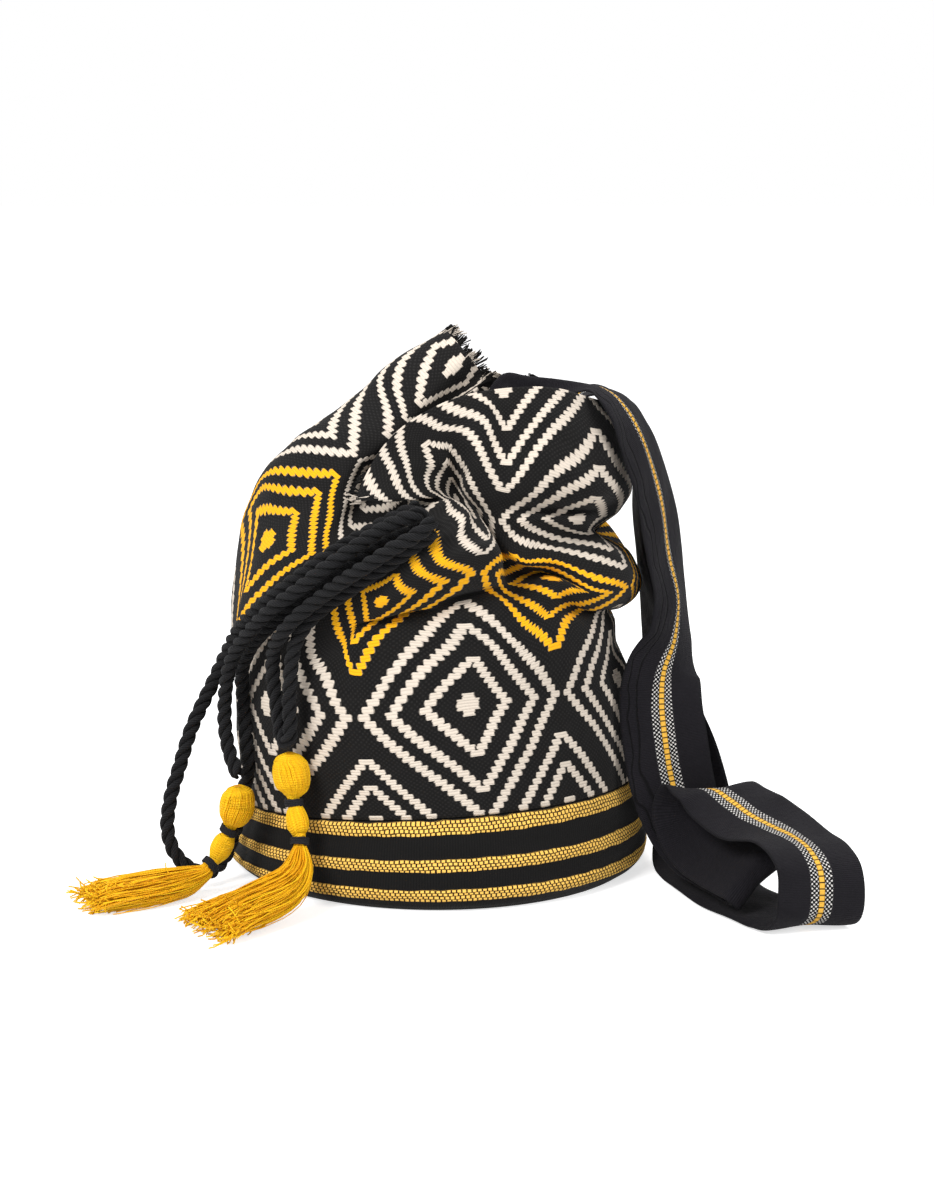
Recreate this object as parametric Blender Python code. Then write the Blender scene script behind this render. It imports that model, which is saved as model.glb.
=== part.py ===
"""A slumped drawstring bucket bag: woven tube, striped foot, shoulder strap, cords and tassels."""
import math

import bpy
import numpy as np

# Driving dimensions, in metres
CLOTH = 0.0024
FOOT_RADIUS = 0.130
SEAM_RADIUS = 0.1215
TUBE_HEIGHT = 0.349
STRAP_HALF_WIDTH = 0.026
STRAP_THICKNESS = 0.0024
STRAP_LOWEST = 0.0016
CORD_DIAMETER = 0.009
CORD_STEP = 2.2 * CORD_DIAMETER
FLOOR_RADIUS = 0.1185
FLOOR_THICKNESS = 0.003
GAP = 0.0004

# The foot: its radius at shares of its height from the floor, and where its stripes stand proud
FOOT_SHAPE = ((0, 0.06, 0.12, 0.2, 0.45, 0.75, 1.0),
              (0.122, 0.1268, 0.1294, FOOT_RADIUS, 0.1291, 0.1256, 0.1214))
FOOT_STRIPES = ((0.13, 0.26), (0.45, 0.58), (0.83, 0.98))
FOOT_STRIPE_PROUD = 0.0008
FOOT_HEM = 0.119
ROUND_STEPS = 64

# Colours
CLOTH_BLACK = (0.02, 0.02, 0.022)
STRAP_CHARCOAL = (0.03, 0.03, 0.035)
YARN_YELLOW = (0.85, 0.45, 0.02)

# The seam between foot and tube is a tilted round: its height at the front, and how it tilts
SEAM_MEAN = 0.0456
SEAM_TO_FRONT = 0.0094
SEAM_TO_RIGHT = 0.0068

# Half the distance between two diamonds along the weft is one column; the tube is 12.5 round
COLUMN_ANGLE = 28.8
COLUMNS_ROUND = 12.5

# Upright part of the tube: how it turns (degrees), widens, leans and rises with the cloth's height
TUBE_START_ANGLE = 10
TUBE_TURN = ((0, 0.07, 0.12), (2.0, -1.5, -2.5))
TUBE_RADIUS = ((0, 0.035, 0.07, 0.10), (SEAM_RADIUS, 0.1225, SEAM_RADIUS, 0.118))
TUBE_LEAN = 0.057
TUBE_RISE = 0.985
UPRIGHT_HEIGHTS = (0.0, 0.035, 0.07)

# How finely the tube is drawn: first column, last column and step; then the cloth's heights
FRONT_GRID = (-3.5, 2.95, 0.2)
BACK_GRID = (3.1, 8.8, 0.5)
LOW_HEIGHTS = (0.0, 0.03, 0.06, 0.085)
UPPER_HEIGHTS = np.linspace(0.10, TUBE_HEIGHT, 31)

# The view that the front columns below are read in: pixels of a 934 by 1200 frame
VIEW_DOWN = math.radians(11.0)
VIEW_FAR = 1.8
VIEW_SCALE = 2910.0
VIEW_MIDDLE = (467.0, 600.0)
VIEW_TARGET = np.array([0.018, 0.0, 0.162])

# Front of the tube. Each column runs up the cloth: height along the cloth from the seam (mm),
# pixel across, pixel down, and depth (mm, negative towards the viewer)
SEEN_COLUMNS = {
    -4.2: [(100, 238, 624, 34), (140, 238, 566, 32), (168, 242, 534, 28), (188, 252, 510, 24),
           (210, 270, 483, 20), (234, 296, 454, 16), (256, 324, 430, 12), (274, 352, 406, 10),
           (310, 398, 370, 8), (349, 443, 339, 8)],
    -3.5: [(120, 236, 625, -12), (163, 256, 508, -28), (200, 270, 470, -38), (230, 296, 443, -45),
           (256, 322, 424, -46), (281, 352, 405, -42), (316, 392, 366, -34), (349, 447, 331, -26)],
    -3.0: [(120, 240, 612, -36), (140, 250, 578, -45), (163, 267, 540, -55), (200, 302, 506, -72),
           (230, 332, 478, -79), (256, 360, 456, -76), (281, 392, 434, -68), (320, 430, 392, -54),
           (349, 466, 353, -42)],
    -2.5: [(120, 268, 610, -74), (140, 282, 580, -78), (163, 300, 552, -84), (200, 333, 516, -88),
           (230, 352, 490, -80), (256, 372, 470, -64), (281, 402, 445, -54), (320, 440, 410, -46),
           (349, 482, 376, -38)],
    -2.0: [(120, 298, 615, -96), (140, 314, 588, -98), (163, 331, 558, -100), (190, 346, 535, -94),
           (215, 358, 516, -80), (240, 374, 496, -68), (256, 386, 480, -64), (281, 408, 454, -58),
           (320, 440, 420, -52), (349, 472, 392, -46)],
    -1.6: [(120, 322, 632, -102), (140, 336, 610, -105), (163, 352, 584, -110), (190, 371, 560, -108),
           (215, 386, 540, -98), (240, 398, 516, -82), (256, 402, 498, -74), (281, 412, 472, -68),
           (320, 430, 438, -66), (349, 450, 414, -62)],
    -1.3: [(95, 336, 660, -106), (120, 346, 636, -106), (140, 356, 615, -110), (163, 366, 594, -118),
           (190, 380, 572, -120), (215, 396, 550, -112), (240, 410, 524, -98), (256, 414, 508, -88),
           (281, 410, 492, -84), (320, 402, 474, -84), (349, 398, 462, -82)],
    -1.0: [(95, 355, 668, -112), (112, 354, 640, -112), (125, 362, 624, -106), (140, 372, 618, -114),
           (163, 381, 602, -126), (190, 393, 578, -130), (215, 410, 550, -125), (235, 428, 523, -116),
           (250, 441, 503, -104), (263, 438, 500, -92), (281, 428, 498, -95), (300, 414, 500, -102),
           (325, 388, 501, -104), (349, 360, 500, -102)],
    -0.5: [(95, 408, 660, -118), (120, 407, 622, -114), (130, 410, 611, -106), (140, 414, 612, -116),
           (163, 424, 589, -132), (190, 434, 564, -137), (210, 451, 540, -131), (226, 466, 517, -116),
           (240, 461, 505, -98), (256, 449, 497, -90), (270, 439, 492, -88), (281, 431, 489, -93),
           (300, 419, 478, -96), (325, 400, 466, -96), (349, 373, 461, -92)],
    0.0: [(100, 465, 656, -120), (137, 462, 604, -115), (146, 464, 595, -107), (154, 472, 588, -118),
           (163, 478, 572, -128), (180, 482, 556, -134), (195, 486, 544, -129), (207, 488, 535, -114),
           (225, 474, 516, -96), (240, 463, 506, -84), (256, 456, 497, -80), (270, 453, 488, -79),
           (290, 450, 474, -83), (309, 444, 460, -88), (323, 428, 445, -90), (349, 407, 423, -88)],
    0.3: [(110, 497, 640, -117), (137, 495, 598, -112), (148, 492, 590, -103), (156, 495, 584, -112),
           (163, 497, 574, -118), (180, 501, 558, -121), (193, 498, 546, -112), (207, 491, 533, -100),
           (225, 480, 517, -88), (240, 470, 506, -82), (256, 463, 497, -78), (270, 460, 487, -76),
           (290, 460, 474, -80), (306, 451, 446, -86), (334, 440, 425, -86), (349, 440, 404, -82)],
    0.6: [(110, 522, 636, -111), (135, 520, 604, -105), (155, 512, 588, -90), (175, 508, 578, -84),
          (200, 502, 562, -84), (225, 490, 538, -82), (250, 478, 512, -84), (262, 470, 498, -92),
          (280, 469, 478, -97), (300, 475, 455, -96), (325, 480, 420, -88), (349, 470, 394, -80)],
    1.0: [(95, 555, 642, -104), (110, 549, 617, -102), (120, 551, 608, -98), (132, 557, 598, -96),
          (150, 557, 584, -94), (163, 552, 577, -88), (180, 545, 574, -74), (200, 535, 569, -80),
          (216, 526, 565, -92), (230, 518, 560, -96), (245, 502, 538, -90), (256, 496, 517, -92),
          (281, 504, 487, -98), (315, 507, 434, -86), (349, 503, 388, -76)],
    1.5: [(95, 588, 640, -82), (110, 586, 622, -78), (124, 584, 611, -64), (136, 586, 609, -76),
          (146, 592, 603, -90), (163, 594, 594, -97), (180, 589, 586, -94), (195, 576, 570, -92),
          (210, 562, 556, -90), (225, 545, 544, -82), (240, 535, 530, -84), (256, 536, 517, -86),
          (264, 538, 511, -78), (275, 545, 498, -90), (290, 549, 474, -95), (315, 552, 432, -86),
          (349, 549, 387, -72)],
    2.0: [(85, 610, 660, -50), (100, 608, 630, -48), (112, 606, 612, -36), (125, 612, 609, -44),
          (145, 624, 602, -58), (163, 630, 586, -66), (188, 622, 562, -68), (205, 608, 547, -62),
          (222, 592, 535, -48), (238, 582, 529, -60), (256, 577, 517, -72), (266, 584, 511, -62),
          (277, 592, 504, -74), (292, 599, 489, -80), (309, 600, 463, -74), (323, 597, 434, -66),
          (349, 588, 396, -54)],
    2.5: [(90, 614, 640, -22), (105, 614, 618, -20), (118, 608, 610, -14), (130, 618, 608, -18),
          (148, 635, 596, -26), (166, 638, 577, -28), (188, 626, 550, -26), (210, 600, 536, -20),
          (235, 597, 526, -24), (256, 612, 514, -36), (275, 626, 496, -40), (300, 628, 464, -36),
          (323, 620, 430, -30), (349, 606, 404, -22)],
    3.0: [(90, 616, 640, 12), (105, 615, 618, 14), (118, 609, 610, 14), (130, 620, 606, 12),
          (148, 637, 592, 10), (166, 639, 573, 9), (188, 626, 548, 12), (210, 600, 535, 14),
          (235, 599, 525, 8), (256, 620, 508, 4), (275, 629, 490, 2), (300, 628, 462, 6),
          (323, 618, 432, 10), (349, 604, 410, 14)],
}

# Back of the tube, not seen: cloth height, then place across, in depth and up, all in mm
BACK_COLUMNS = {
    3.9: [(100, 99, 56, 148), (130, 98, 56, 166), (155, 105, 60, 182), (180, 101, 58, 202),
          (210, 92, 54, 216), (240, 92, 52, 232), (270, 98, 54, 254), (310, 90, 54, 278),
          (349, 74, 52, 290)],
    4.8: [(100, 62, 96, 142), (130, 62, 95, 162), (155, 68, 102, 180), (180, 66, 100, 200),
          (210, 54, 88, 218), (240, 52, 84, 236), (270, 54, 86, 258), (310, 50, 82, 278),
          (349, 42, 76, 291)],
    5.7: [(100, 12, 110, 138), (130, 12, 110, 164), (155, 12, 114, 182), (180, 12, 110, 204),
          (210, 10, 98, 224), (240, 10, 92, 246), (270, 8, 92, 268), (310, 6, 84, 285),
          (349, 4, 76, 298)],
    -5.8: [(100, -40, 104, 136), (130, -40, 102, 164), (155, -42, 100, 186), (180, -42, 94, 208),
           (210, -38, 82, 230), (240, -34, 76, 252), (270, -32, 74, 274), (310, -26, 66, 296),
           (349, -7, 60, 304)],
    -5.0: [(100, -86, 74, 138), (130, -86, 72, 166), (155, -84, 68, 188), (180, -80, 62, 210),
           (210, -74, 54, 232), (240, -68, 48, 254), (270, -52, 42, 271), (310, -29, 37, 293),
           (349, -7, 34, 309)],
}

# Strap, one band: place of its middle line (mm), then how far each half is turned back (degrees).
# Zero and zero lies flat across the view; it starts and ends inside the mouth
STRAP_STATIONS = [
    (31, -48, 262, -90, 90), (30.5, -48, 284, -90, 90), (33, -47, 299, -90, 90),
    (41, -45, 306.6, -90, 90), (52, -41.5, 305.2, -90, 90), (66, -38, 303.5, -90, 90),
    (80, -38.5, 301.5, -90, 90), (90, -39, 300, -84, 88), (98, -40.5, 298.5, -76, 84),
    (105, -43, 295, -68, 80), (112, -45, 287, -62, 76), (120, -45, 272, -56, 74),
    (128.5, -43, 250, -56, 72), (135, -41, 224, -56, 70), (140, -40, 194, -58, 68),
    (145, -41, 168, -52, 76), (143, -44, 148, -46, 60), (136.5, -49, 128, -28, 28),
    (135.5, -53, 109, -8, 16), (138, -56, 85, -4, 6), (142, -57, 62, -10, 8), (147, -58, 44, -18, 16),
    (154, -62, 30, -24, 24), (163, -71, 21, -28, 28), (174, -89, 18.5, -29, 29),
    (184, -109, 18.5, -29, 29), (190.5, -124, 19.5, -29, 29), (192, -133, 24, -29, 29),
    (186, -133.5, 29, -29, 29), (178, -119, 30, -29, 29), (170, -102, 30.5, -30, 30),
    (163, -87, 32, -28, 28), (157.5, -75, 38, -24, 24), (155, -68.5, 47, -17, 17),
    (158.5, -69, 57, -10, 10), (165, -78, 61, -9, 9), (175, -92, 57.5, -24, 24),
    (184, -106, 53.5, -30, 30), (196, -122, 51, -32, 32), (207, -141, 49, -30, 30),
    (214, -155, 46, -24, 24), (219, -166, 38, -17, 17), (220, -171, 24, -12, 12),
    (218.5, -169.5, 11, -12, 12), (213, -162, 4, -15, 15), (204, -149, 2, -21, 21),
    (195, -135, 2, -27, 27), (178, -104, 2, -27, 27), (166, -70, 2, -20, 20), (159, -38, 2, -10, 10),
    (159, -24, 5, -1, 1), (160, -16, 15, 3, -3), (158, -12, 28, 9, -9), (156, -9, 42, 18, -18),
    (153, -6, 60, 30, -30), (149, -3, 80, 43, -43), (144, 0, 102, 56, -56), (138, 2, 125, 68, -68),
    (133, 4, 146, 77, -77), (129.5, 5, 168, 84, -84), (126, 7, 190, 86, -86), (123.5, 9, 214, 87, -87),
    (121.5, 10, 240, 90, -90), (119.5, 11, 262, 90, -90), (114, 12, 279, 90, -90),
    (105, 11, 289, 90, -90), (95, 10, 291.5, 90, -90), (86, 10, 288, 90, -90), (80, 9, 276, 90, -90),
    (78, 8, 260, 90, -90),
]
# Number of a station of the strap, how far its left and right halves hang down there (degrees),
# and the share of the width that is left where the band is folded together
STRAP_FOLDS = [
    (0, 70, 40, 0.42), (5, 66, 40, 0.42), (6, 40, 32, 0.42), (7, 8, 16, 0.5), (8, 4, 8, 0.72),
    (9, 2, 4, 0.95), (10, 0, 0, 1), (21, 0, 0, 1), (22, 8, -8, 1), (23, 16, -16, 1), (25, 22, -22, 1),
    (27, 34, -34, 1), (28, 40, -40, 1), (30, 40, -40, 1), (31, 36, -36, 1), (32, 26, -26, 1),
    (33, 14, -14, 1), (34, 4, -4, 1), (35, 6, 0, 1), (36, 20, -8, 1), (37, 20, -16, 1), (38, 10, -10, 1),
    (39, 0, 0, 1), (70, 0, 0, 1),
]

# Cord routes, through their own points (mm), from the gather down
LEFT_CORD_ROUTE = [
    (-9, -111, 239), (-28, -107, 229), (-43, -104, 220), (-58, -107, 212), (-74, -103, 200), (-91, -95, 186),
    (-106, -82, 172), (-119, -62, 155), (-128, -50, 137), (-136, -48, 120), (-142, -52, 108),
    (-148, -58, 95), (-155, -65, 73), (-161, -72, 51), (-162, -76, 36), (-157, -80, 22), (-148, -80, 13),
    (-138, -74, 9), (-130, -65, 14), (-124, -60, 28), (-120, -57, 42), (-117, -58, 56), (-114, -62, 72),
    (-115, -62, 87), (-116, -58, 101), (-117, -57, 115), (-117, -62, 131), (-111, -73, 147),
    (-99, -89, 163), (-86, -101, 176), (-70, -106, 188), (-55, -113, 200), (-41, -114, 210),
    (-27, -115, 219), (-13, -119, 226), (-6, -125, 232), (-9, -131, 237), (-21, -129, 233), (-35, -126, 225),
    (-49, -125, 215), (-64, -122, 204), (-79, -116, 191), (-95, -108, 178), (-109, -95, 162),
    (-120, -82, 145), (-125, -74, 129), (-127, -69, 113), (-127, -70, 98), (-124, -76, 84), (-118, -87, 72),
]
FRONT_CORD_ROUTE = [
    (0, -132, 227), (-12, -132, 219), (-23, -131, 211), (-37, -126, 201), (-52, -117, 189), (-66, -109, 178),
    (-76, -108, 168), (-82, -107, 157), (-84.5, -107, 145), (-85.5, -107.5, 132), (-86, -108, 118),
    (-85.5, -109, 108), (-86, -109.5, 101), (-88.5, -107.5, 97.2), (-91, -103.5, 101), (-93, -99, 113),
    (-96, -94, 131), (-96, -96, 146),
    (-90, -110, 163), (-80, -116, 175), (-67, -119, 186), (-53, -128, 198), (-38, -136, 209),
    (-24, -140, 219), (-9, -141, 228), (0, -141, 236),
]

# Tassels: place along the middle (mm), half width across and half height of the yarn there (mm)
FRONT_TASSEL = [
    (-86, -107, 91, 3, 3), (-86, -107, 89, 7, 7), (-86, -107, 85, 10, 10), (-85, -108, 78, 11, 11),
    (-84, -109, 71, 9.5, 9.5), (-84, -110, 67, 5.5, 5.5), (-84, -110.5, 65, 3.6, 3.6),
    (-83.5, -111, 60, 3.6, 3.6), (-83, -112, 58.5, 5, 5), (-82, -114, 54, 6.5, 6.5),
    (-81, -116, 49, 6.5, 6.5), (-80.5, -117, 45.5, 4.5, 4.5), (-80, -118, 43.5, 3.4, 3.4),
    (-80, -119.5, 38.5, 3.4, 3.4), (-80, -122, 35, 5, 4.5), (-80.5, -129, 29, 8, 6),
    (-83, -136, 23.5, 10.5, 7), (-89, -143, 18.5, 14, 7.5), (-98, -149, 14.5, 18, 7.5),
    (-108, -154, 11, 22, 7), (-117, -159.5, 8.5, 26, 6), (-125, -164.5, 6.5, 29, 4.5),
    (-130, -168, 5, 30, 2.8),
]
LEFT_TASSEL = [
    (-118, -89, 66.5, 3, 3), (-118, -89, 64.5, 7, 7), (-118, -89, 61, 9.5, 9.5),
    (-119, -89, 54, 10.5, 10.5), (-121, -88.5, 47.5, 9, 9), (-122.5, -88, 43.5, 5.5, 5.5),
    (-123, -88, 41.5, 3.6, 3.6), (-125, -87.5, 37, 3.6, 3.6), (-125.5, -87.5, 35, 5, 5),
    (-127.5, -87.5, 31, 6.5, 6.5), (-130, -88, 26, 6.3, 6.3), (-132, -89, 22.5, 4.5, 4.5),
    (-133.5, -90, 20.5, 3.4, 3.4), (-137, -92, 17, 3.4, 3.4), (-140, -94, 14, 5, 4.5),
    (-150, -99, 11, 9, 7), (-164, -106, 10, 13, 8), (-180, -113, 9, 16, 8), (-194, -119, 8, 18, 7),
    (-205, -124, 6.5, 18.5, 4.5),
]
# Each tie sits on the neck between this station of its tassel and the next one
UPPER_NECK = 6
LOWER_NECK = 12
TIE_LENGTH = 0.0036
TIE_WALL = 0.0014
TIE_STEPS = 20
YARN_SIDES = 12
YARN_LOWEST = 0.0005
# Below this height the skirts turn level over this span, and spread on the ground
LYING_BELOW = 0.030
LYING_SPAN = 0.022

# The room inside: rings at these heights (mm), each from the front round by the right. The lowest
# three are circles, each with its radius and how far it leans (mm)
ROOM_HEIGHTS = (20, 55, 100, 150, 195, 235, 270, 300, 350)
ROOM_ANGLES = (17, 36, 55, 80, 99, 126, 150, 175, 203, 230, 262, 304, 340)
ROOM_CIRCLES = ((119, 0), (119, 0), (117, -5))
ROOM_SLICES = np.concatenate([[0.02, 0.055, 0.08, 0.10], np.linspace(0.12, 0.35, 14)])
ROOM_SIDES = 40
MOUTH_RING = [(8, -79), (62, -64), (84, -48), (95, -20), (95, 12), (70, 44), (40, 66), (8, 68),
              (-12, 54), (-16, 36), (18, 2), (29, -40), (-18, -71)]
ROOM_RINGS = [
    [(28, -92), (56, -78), (80, -54), (97, -18), (97, 16), (82, 58), (50, 86), (8, 100),
     (-40, 90), (-78, 66), (-104, 14), (-86, -58), (-34, -94)],
    [(28, -62), (54, -60), (78, -46), (94, -16), (94, 14), (84, 44), (50, 74), (8, 88),
     (-34, 76), (-66, 50), (-88, 10), (-68, -50), (-24, -76)],
    [(30, -58), (56, -60), (76, -50), (90, -20), (92, 12), (78, 42), (46, 68), (6, 76),
     (-30, 62), (-60, 40), (-74, 10), (-50, -30), (-10, -52)],
    [(5, -77), (64, -66), (86, -52), (100, -22), (102, 12), (80, 44), (46, 68), (6, 76),
     (-22, 60), (-42, 38), (-40, 14), (16, -42), (-17, -70)],
    MOUTH_RING,
    MOUTH_RING,
]
MOUTH_MIDDLE = (45, -5, 245)

MM = 0.001


def through(knots, values, places):
    """Smooth curve through the values, with its slope at each knot from the neighbours."""
    knots = np.asarray(knots, float)
    values = np.asarray(values, float)
    places = np.asarray(places, float)
    step = np.diff(knots)
    rise = np.diff(values, axis=0) / step[:, None]
    slope = np.empty_like(values)
    slope[0], slope[-1] = rise[0], rise[-1]
    weight = step[:-1] + step[1:]
    slope[1:-1] = (rise[:-1] * step[1:, None] + rise[1:] * step[:-1, None]) / weight[:, None]
    piece = np.clip(np.searchsorted(knots, places, side="right") - 1, 0, len(knots) - 2)
    t = ((places - knots[piece]) / step[piece])[:, None]
    span = step[piece][:, None]
    start, end = values[piece], values[piece + 1]
    return ((2 * t**3 - 3 * t**2 + 1) * start + (t**3 - 2 * t**2 + t) * span * slope[piece]
            + (3 * t**2 - 2 * t**3) * end + (t**3 - t**2) * span * slope[piece + 1])


def along(points):
    """Distance of each point from the first one, following the points."""
    return np.concatenate([[0.0], np.cumsum(np.linalg.norm(np.diff(points, axis=0), axis=1))])


def seen_at(across, down, depth):
    """Place in metres of a pixel of the view at a given depth."""
    right = (across - VIEW_MIDDLE[0]) / VIEW_SCALE
    up = (VIEW_MIDDLE[1] - down) / VIEW_SCALE
    cosine, sine = math.cos(VIEW_DOWN), math.sin(VIEW_DOWN)
    far = (depth + cosine * VIEW_FAR) / (cosine + sine * up)
    ahead = np.array([0.0, cosine, -sine]) * (far - VIEW_FAR)
    return VIEW_TARGET + ahead + np.array([right, up * sine, up * cosine]) * far


def seam_height(angle):
    """Height of the seam round the foot; the angle is zero at the front and grows to the right."""
    return SEAM_MEAN + SEAM_TO_FRONT * math.cos(angle) + SEAM_TO_RIGHT * math.sin(angle)


def lower_wall(column, height):
    """The upright part of the tube above the seam, slightly turned and leaning."""
    turn = np.interp(height, *TUBE_TURN)
    angle = math.radians(TUBE_START_ANGLE + COLUMN_ANGLE * column + turn)
    radius = np.interp(height, *TUBE_RADIUS)
    return (radius * math.sin(angle) - TUBE_LEAN * height, -radius * math.cos(angle),
            seam_height(angle) + GAP + height * TUBE_RISE)


def tube_surface(columns, heights):
    """Places of the cloth at the given columns and cloth heights, one row of the result a column."""
    known = {}
    for column, points in SEEN_COLUMNS.items():
        known[column] = [(v * MM, *seen_at(x, y, d * MM)) for v, x, y, d in points]
    for column, points in BACK_COLUMNS.items():
        known[column] = [(v * MM, x * MM, y * MM, z * MM) for v, x, y, z in points]
    order = sorted(known)
    lines = []
    for column in order:
        low = [(v, *lower_wall(column, v)) for v in UPRIGHT_HEIGHTS]
        line = np.array(low + known[column])
        lines.append(through(line[:, 0], line[:, 1:], heights))
    lines = np.array(lines)
    around = [k - COLUMNS_ROUND for k in order[-3:]] + order + [k + COLUMNS_ROUND for k in order[:3]]
    lines = np.concatenate([lines[-3:], lines, lines[:3]])
    flat = through(around, lines.reshape(len(around), -1), columns)
    return flat.reshape(len(columns), len(heights), 3)


def add_object(name, vertices, faces, colour, roughness):
    """A smooth shaded mesh object with its own material."""
    mesh = bpy.data.meshes.new(name)
    mesh.from_pydata([tuple(map(float, v)) for v in vertices], [], faces)
    mesh.validate()
    mesh.shade_smooth()
    made = bpy.data.objects.new(name, mesh)
    bpy.context.scene.collection.objects.link(made)
    made.data.materials.append(plain_material(name, colour, roughness))
    return made


def plain_material(name, colour, roughness):
    """One Principled material."""
    material = bpy.data.materials.new(name)
    material.use_nodes = True
    shader = material.node_tree.nodes["Principled BSDF"]
    shader.inputs["Base Color"].default_value = (*colour, 1.0)
    shader.inputs["Roughness"].default_value = roughness
    shader.inputs["Metallic"].default_value = 0.0
    return material


def ring_faces(rings, sides, closed):
    """Quads between rings of vertices; an open run of rings gets a flat cap at both ends."""
    faces = []
    for i in range(rings if closed else rings - 1):
        for j in range(sides):
            a, b = i * sides + j, i * sides + (j + 1) % sides
            c, d = (i + 1) % rings * sides + (j + 1) % sides, (i + 1) % rings * sides + j
            faces.append((a, d, c, b))
    if not closed:
        faces.append(tuple(range(sides)))
        faces.append(tuple(reversed(range((rings - 1) * sides, rings * sides))))
    return faces


def ring_places(heights, rings, count, at):
    """Smooth closed rings through the hand-chosen ones, one at each wanted height."""
    rounds = []
    for ring in rings:
        size = len(ring)
        ring = np.array([ring[-1]] + list(ring) + list(ring[:2]), float) * MM
        rounds.append(through(np.arange(-1, size + 2), ring, np.linspace(0, size, count, endpoint=False)))
    rounds = np.array(rounds).reshape(len(rings), -1)
    return through(np.array(heights) * MM, rounds, at).reshape(len(at), count, 2)


def hollow():
    """The room inside the tube, from below the seam out through the mouth."""
    circles = []
    for radius, lean in ROOM_CIRCLES:
        circles.append([(lean + radius * math.sin(math.radians(a)), -radius * math.cos(math.radians(a)))
                        for a in ROOM_ANGLES])
    rounds = ring_places(ROOM_HEIGHTS, circles + ROOM_RINGS, ROOM_SIDES, ROOM_SLICES)
    places = [(x, y, z) for z, ring in zip(ROOM_SLICES, rounds) for x, y in ring[::-1]]
    faces = ring_faces(len(ROOM_SLICES), ROOM_SIDES, False)
    return add_object("room", places, faces, CLOTH_BLACK, 1.0)


def bag_body():
    """The woven tube, folded at the front, hollow and open at the mouth."""
    columns = np.concatenate([np.arange(*FRONT_GRID), np.arange(*BACK_GRID)])
    columns = np.sort(np.where(columns > COLUMNS_ROUND / 2, columns - COLUMNS_ROUND, columns))
    heights = np.concatenate([LOW_HEIGHTS, UPPER_HEIGHTS])
    outer = tube_surface(columns, heights)
    wide, tall = outer.shape[:2]
    places = list(outer.transpose(1, 0, 2)[::-1].reshape(-1, 3))
    faces = ring_faces(tall, wide, False)[:-2]
    top, low = len(places), len(places) + 1
    places += [np.array(MOUTH_MIDDLE) * MM, np.array([0, 0, SEAM_MEAN])]
    for i in range(wide):
        after = (i + 1) % wide
        faces.append((i, after, top))
        faces.append(((tall - 1) * wide + after, (tall - 1) * wide + i, low))
    body = add_object("bag_body", places, faces, CLOTH_BLACK, 0.9)
    room = hollow()
    cut = body.modifiers.new("room", "BOOLEAN")
    cut.operation = "DIFFERENCE"
    cut.solver = "EXACT"
    cut.use_self = True
    cut.object = room
    bpy.context.view_layer.update()
    solid = bpy.data.meshes.new_from_object(body.evaluated_get(bpy.context.evaluated_depsgraph_get()))
    body.modifiers.clear()
    body.data = solid
    bpy.data.objects.remove(room, do_unlink=True)
    return body


def foot_radius(part):
    """Radius of the foot from the floor (0) to the seam (1)."""
    return float(np.interp(part, *FOOT_SHAPE))


def base_band():
    """The striped foot: a ring of cloth whose three ribbed stripes stand proud."""
    proud = FOOT_STRIPE_PROUD
    outer = [(0.0, 0.0), (0.06, 0.0)]
    for low, high in FOOT_STRIPES:
        outer += [(low - 0.01, 0.0), (low + 0.005, proud), (high - 0.005, proud), (high + 0.01, 0.0)]
    rings = []
    for i in range(ROUND_STEPS):
        angle = 2 * math.pi * i / ROUND_STEPS
        top = seam_height(angle)
        section = [(foot_radius(part) + extra, part * top) for part, extra in outer]
        section += [(foot_radius(part) - CLOTH, part * top) for part in (1.0, 0.6, 0.2, 0.07)]
        section += [(FOOT_HEM, CLOTH), (FOOT_HEM, 0.0)]
        rings += [(r * math.sin(angle), -r * math.cos(angle), z) for r, z in section]
    sides = len(rings) // ROUND_STEPS
    return add_object("base_band", rings, ring_faces(ROUND_STEPS, sides, True), CLOTH_BLACK, 0.9)


def base_disc():
    """The flat woven floor of the bag."""
    turn = [2 * math.pi * i / ROUND_STEPS for i in range(ROUND_STEPS)]
    low = [(FLOOR_RADIUS * math.sin(a), -FLOOR_RADIUS * math.cos(a), 0.0) for a in turn]
    high = [(x, y, FLOOR_THICKNESS) for x, y, _ in low]
    return add_object("base_disc", high + low, ring_faces(2, ROUND_STEPS, False), CLOTH_BLACK, 0.9)


def band_side(across, back, drop, forward):
    """Direction from the strap's middle line to one edge, square to the way it runs."""
    side = np.array([across * math.cos(drop), back * math.cos(drop), -math.sin(drop)])
    side -= forward * side.dot(forward)
    return side / np.linalg.norm(side)


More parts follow.
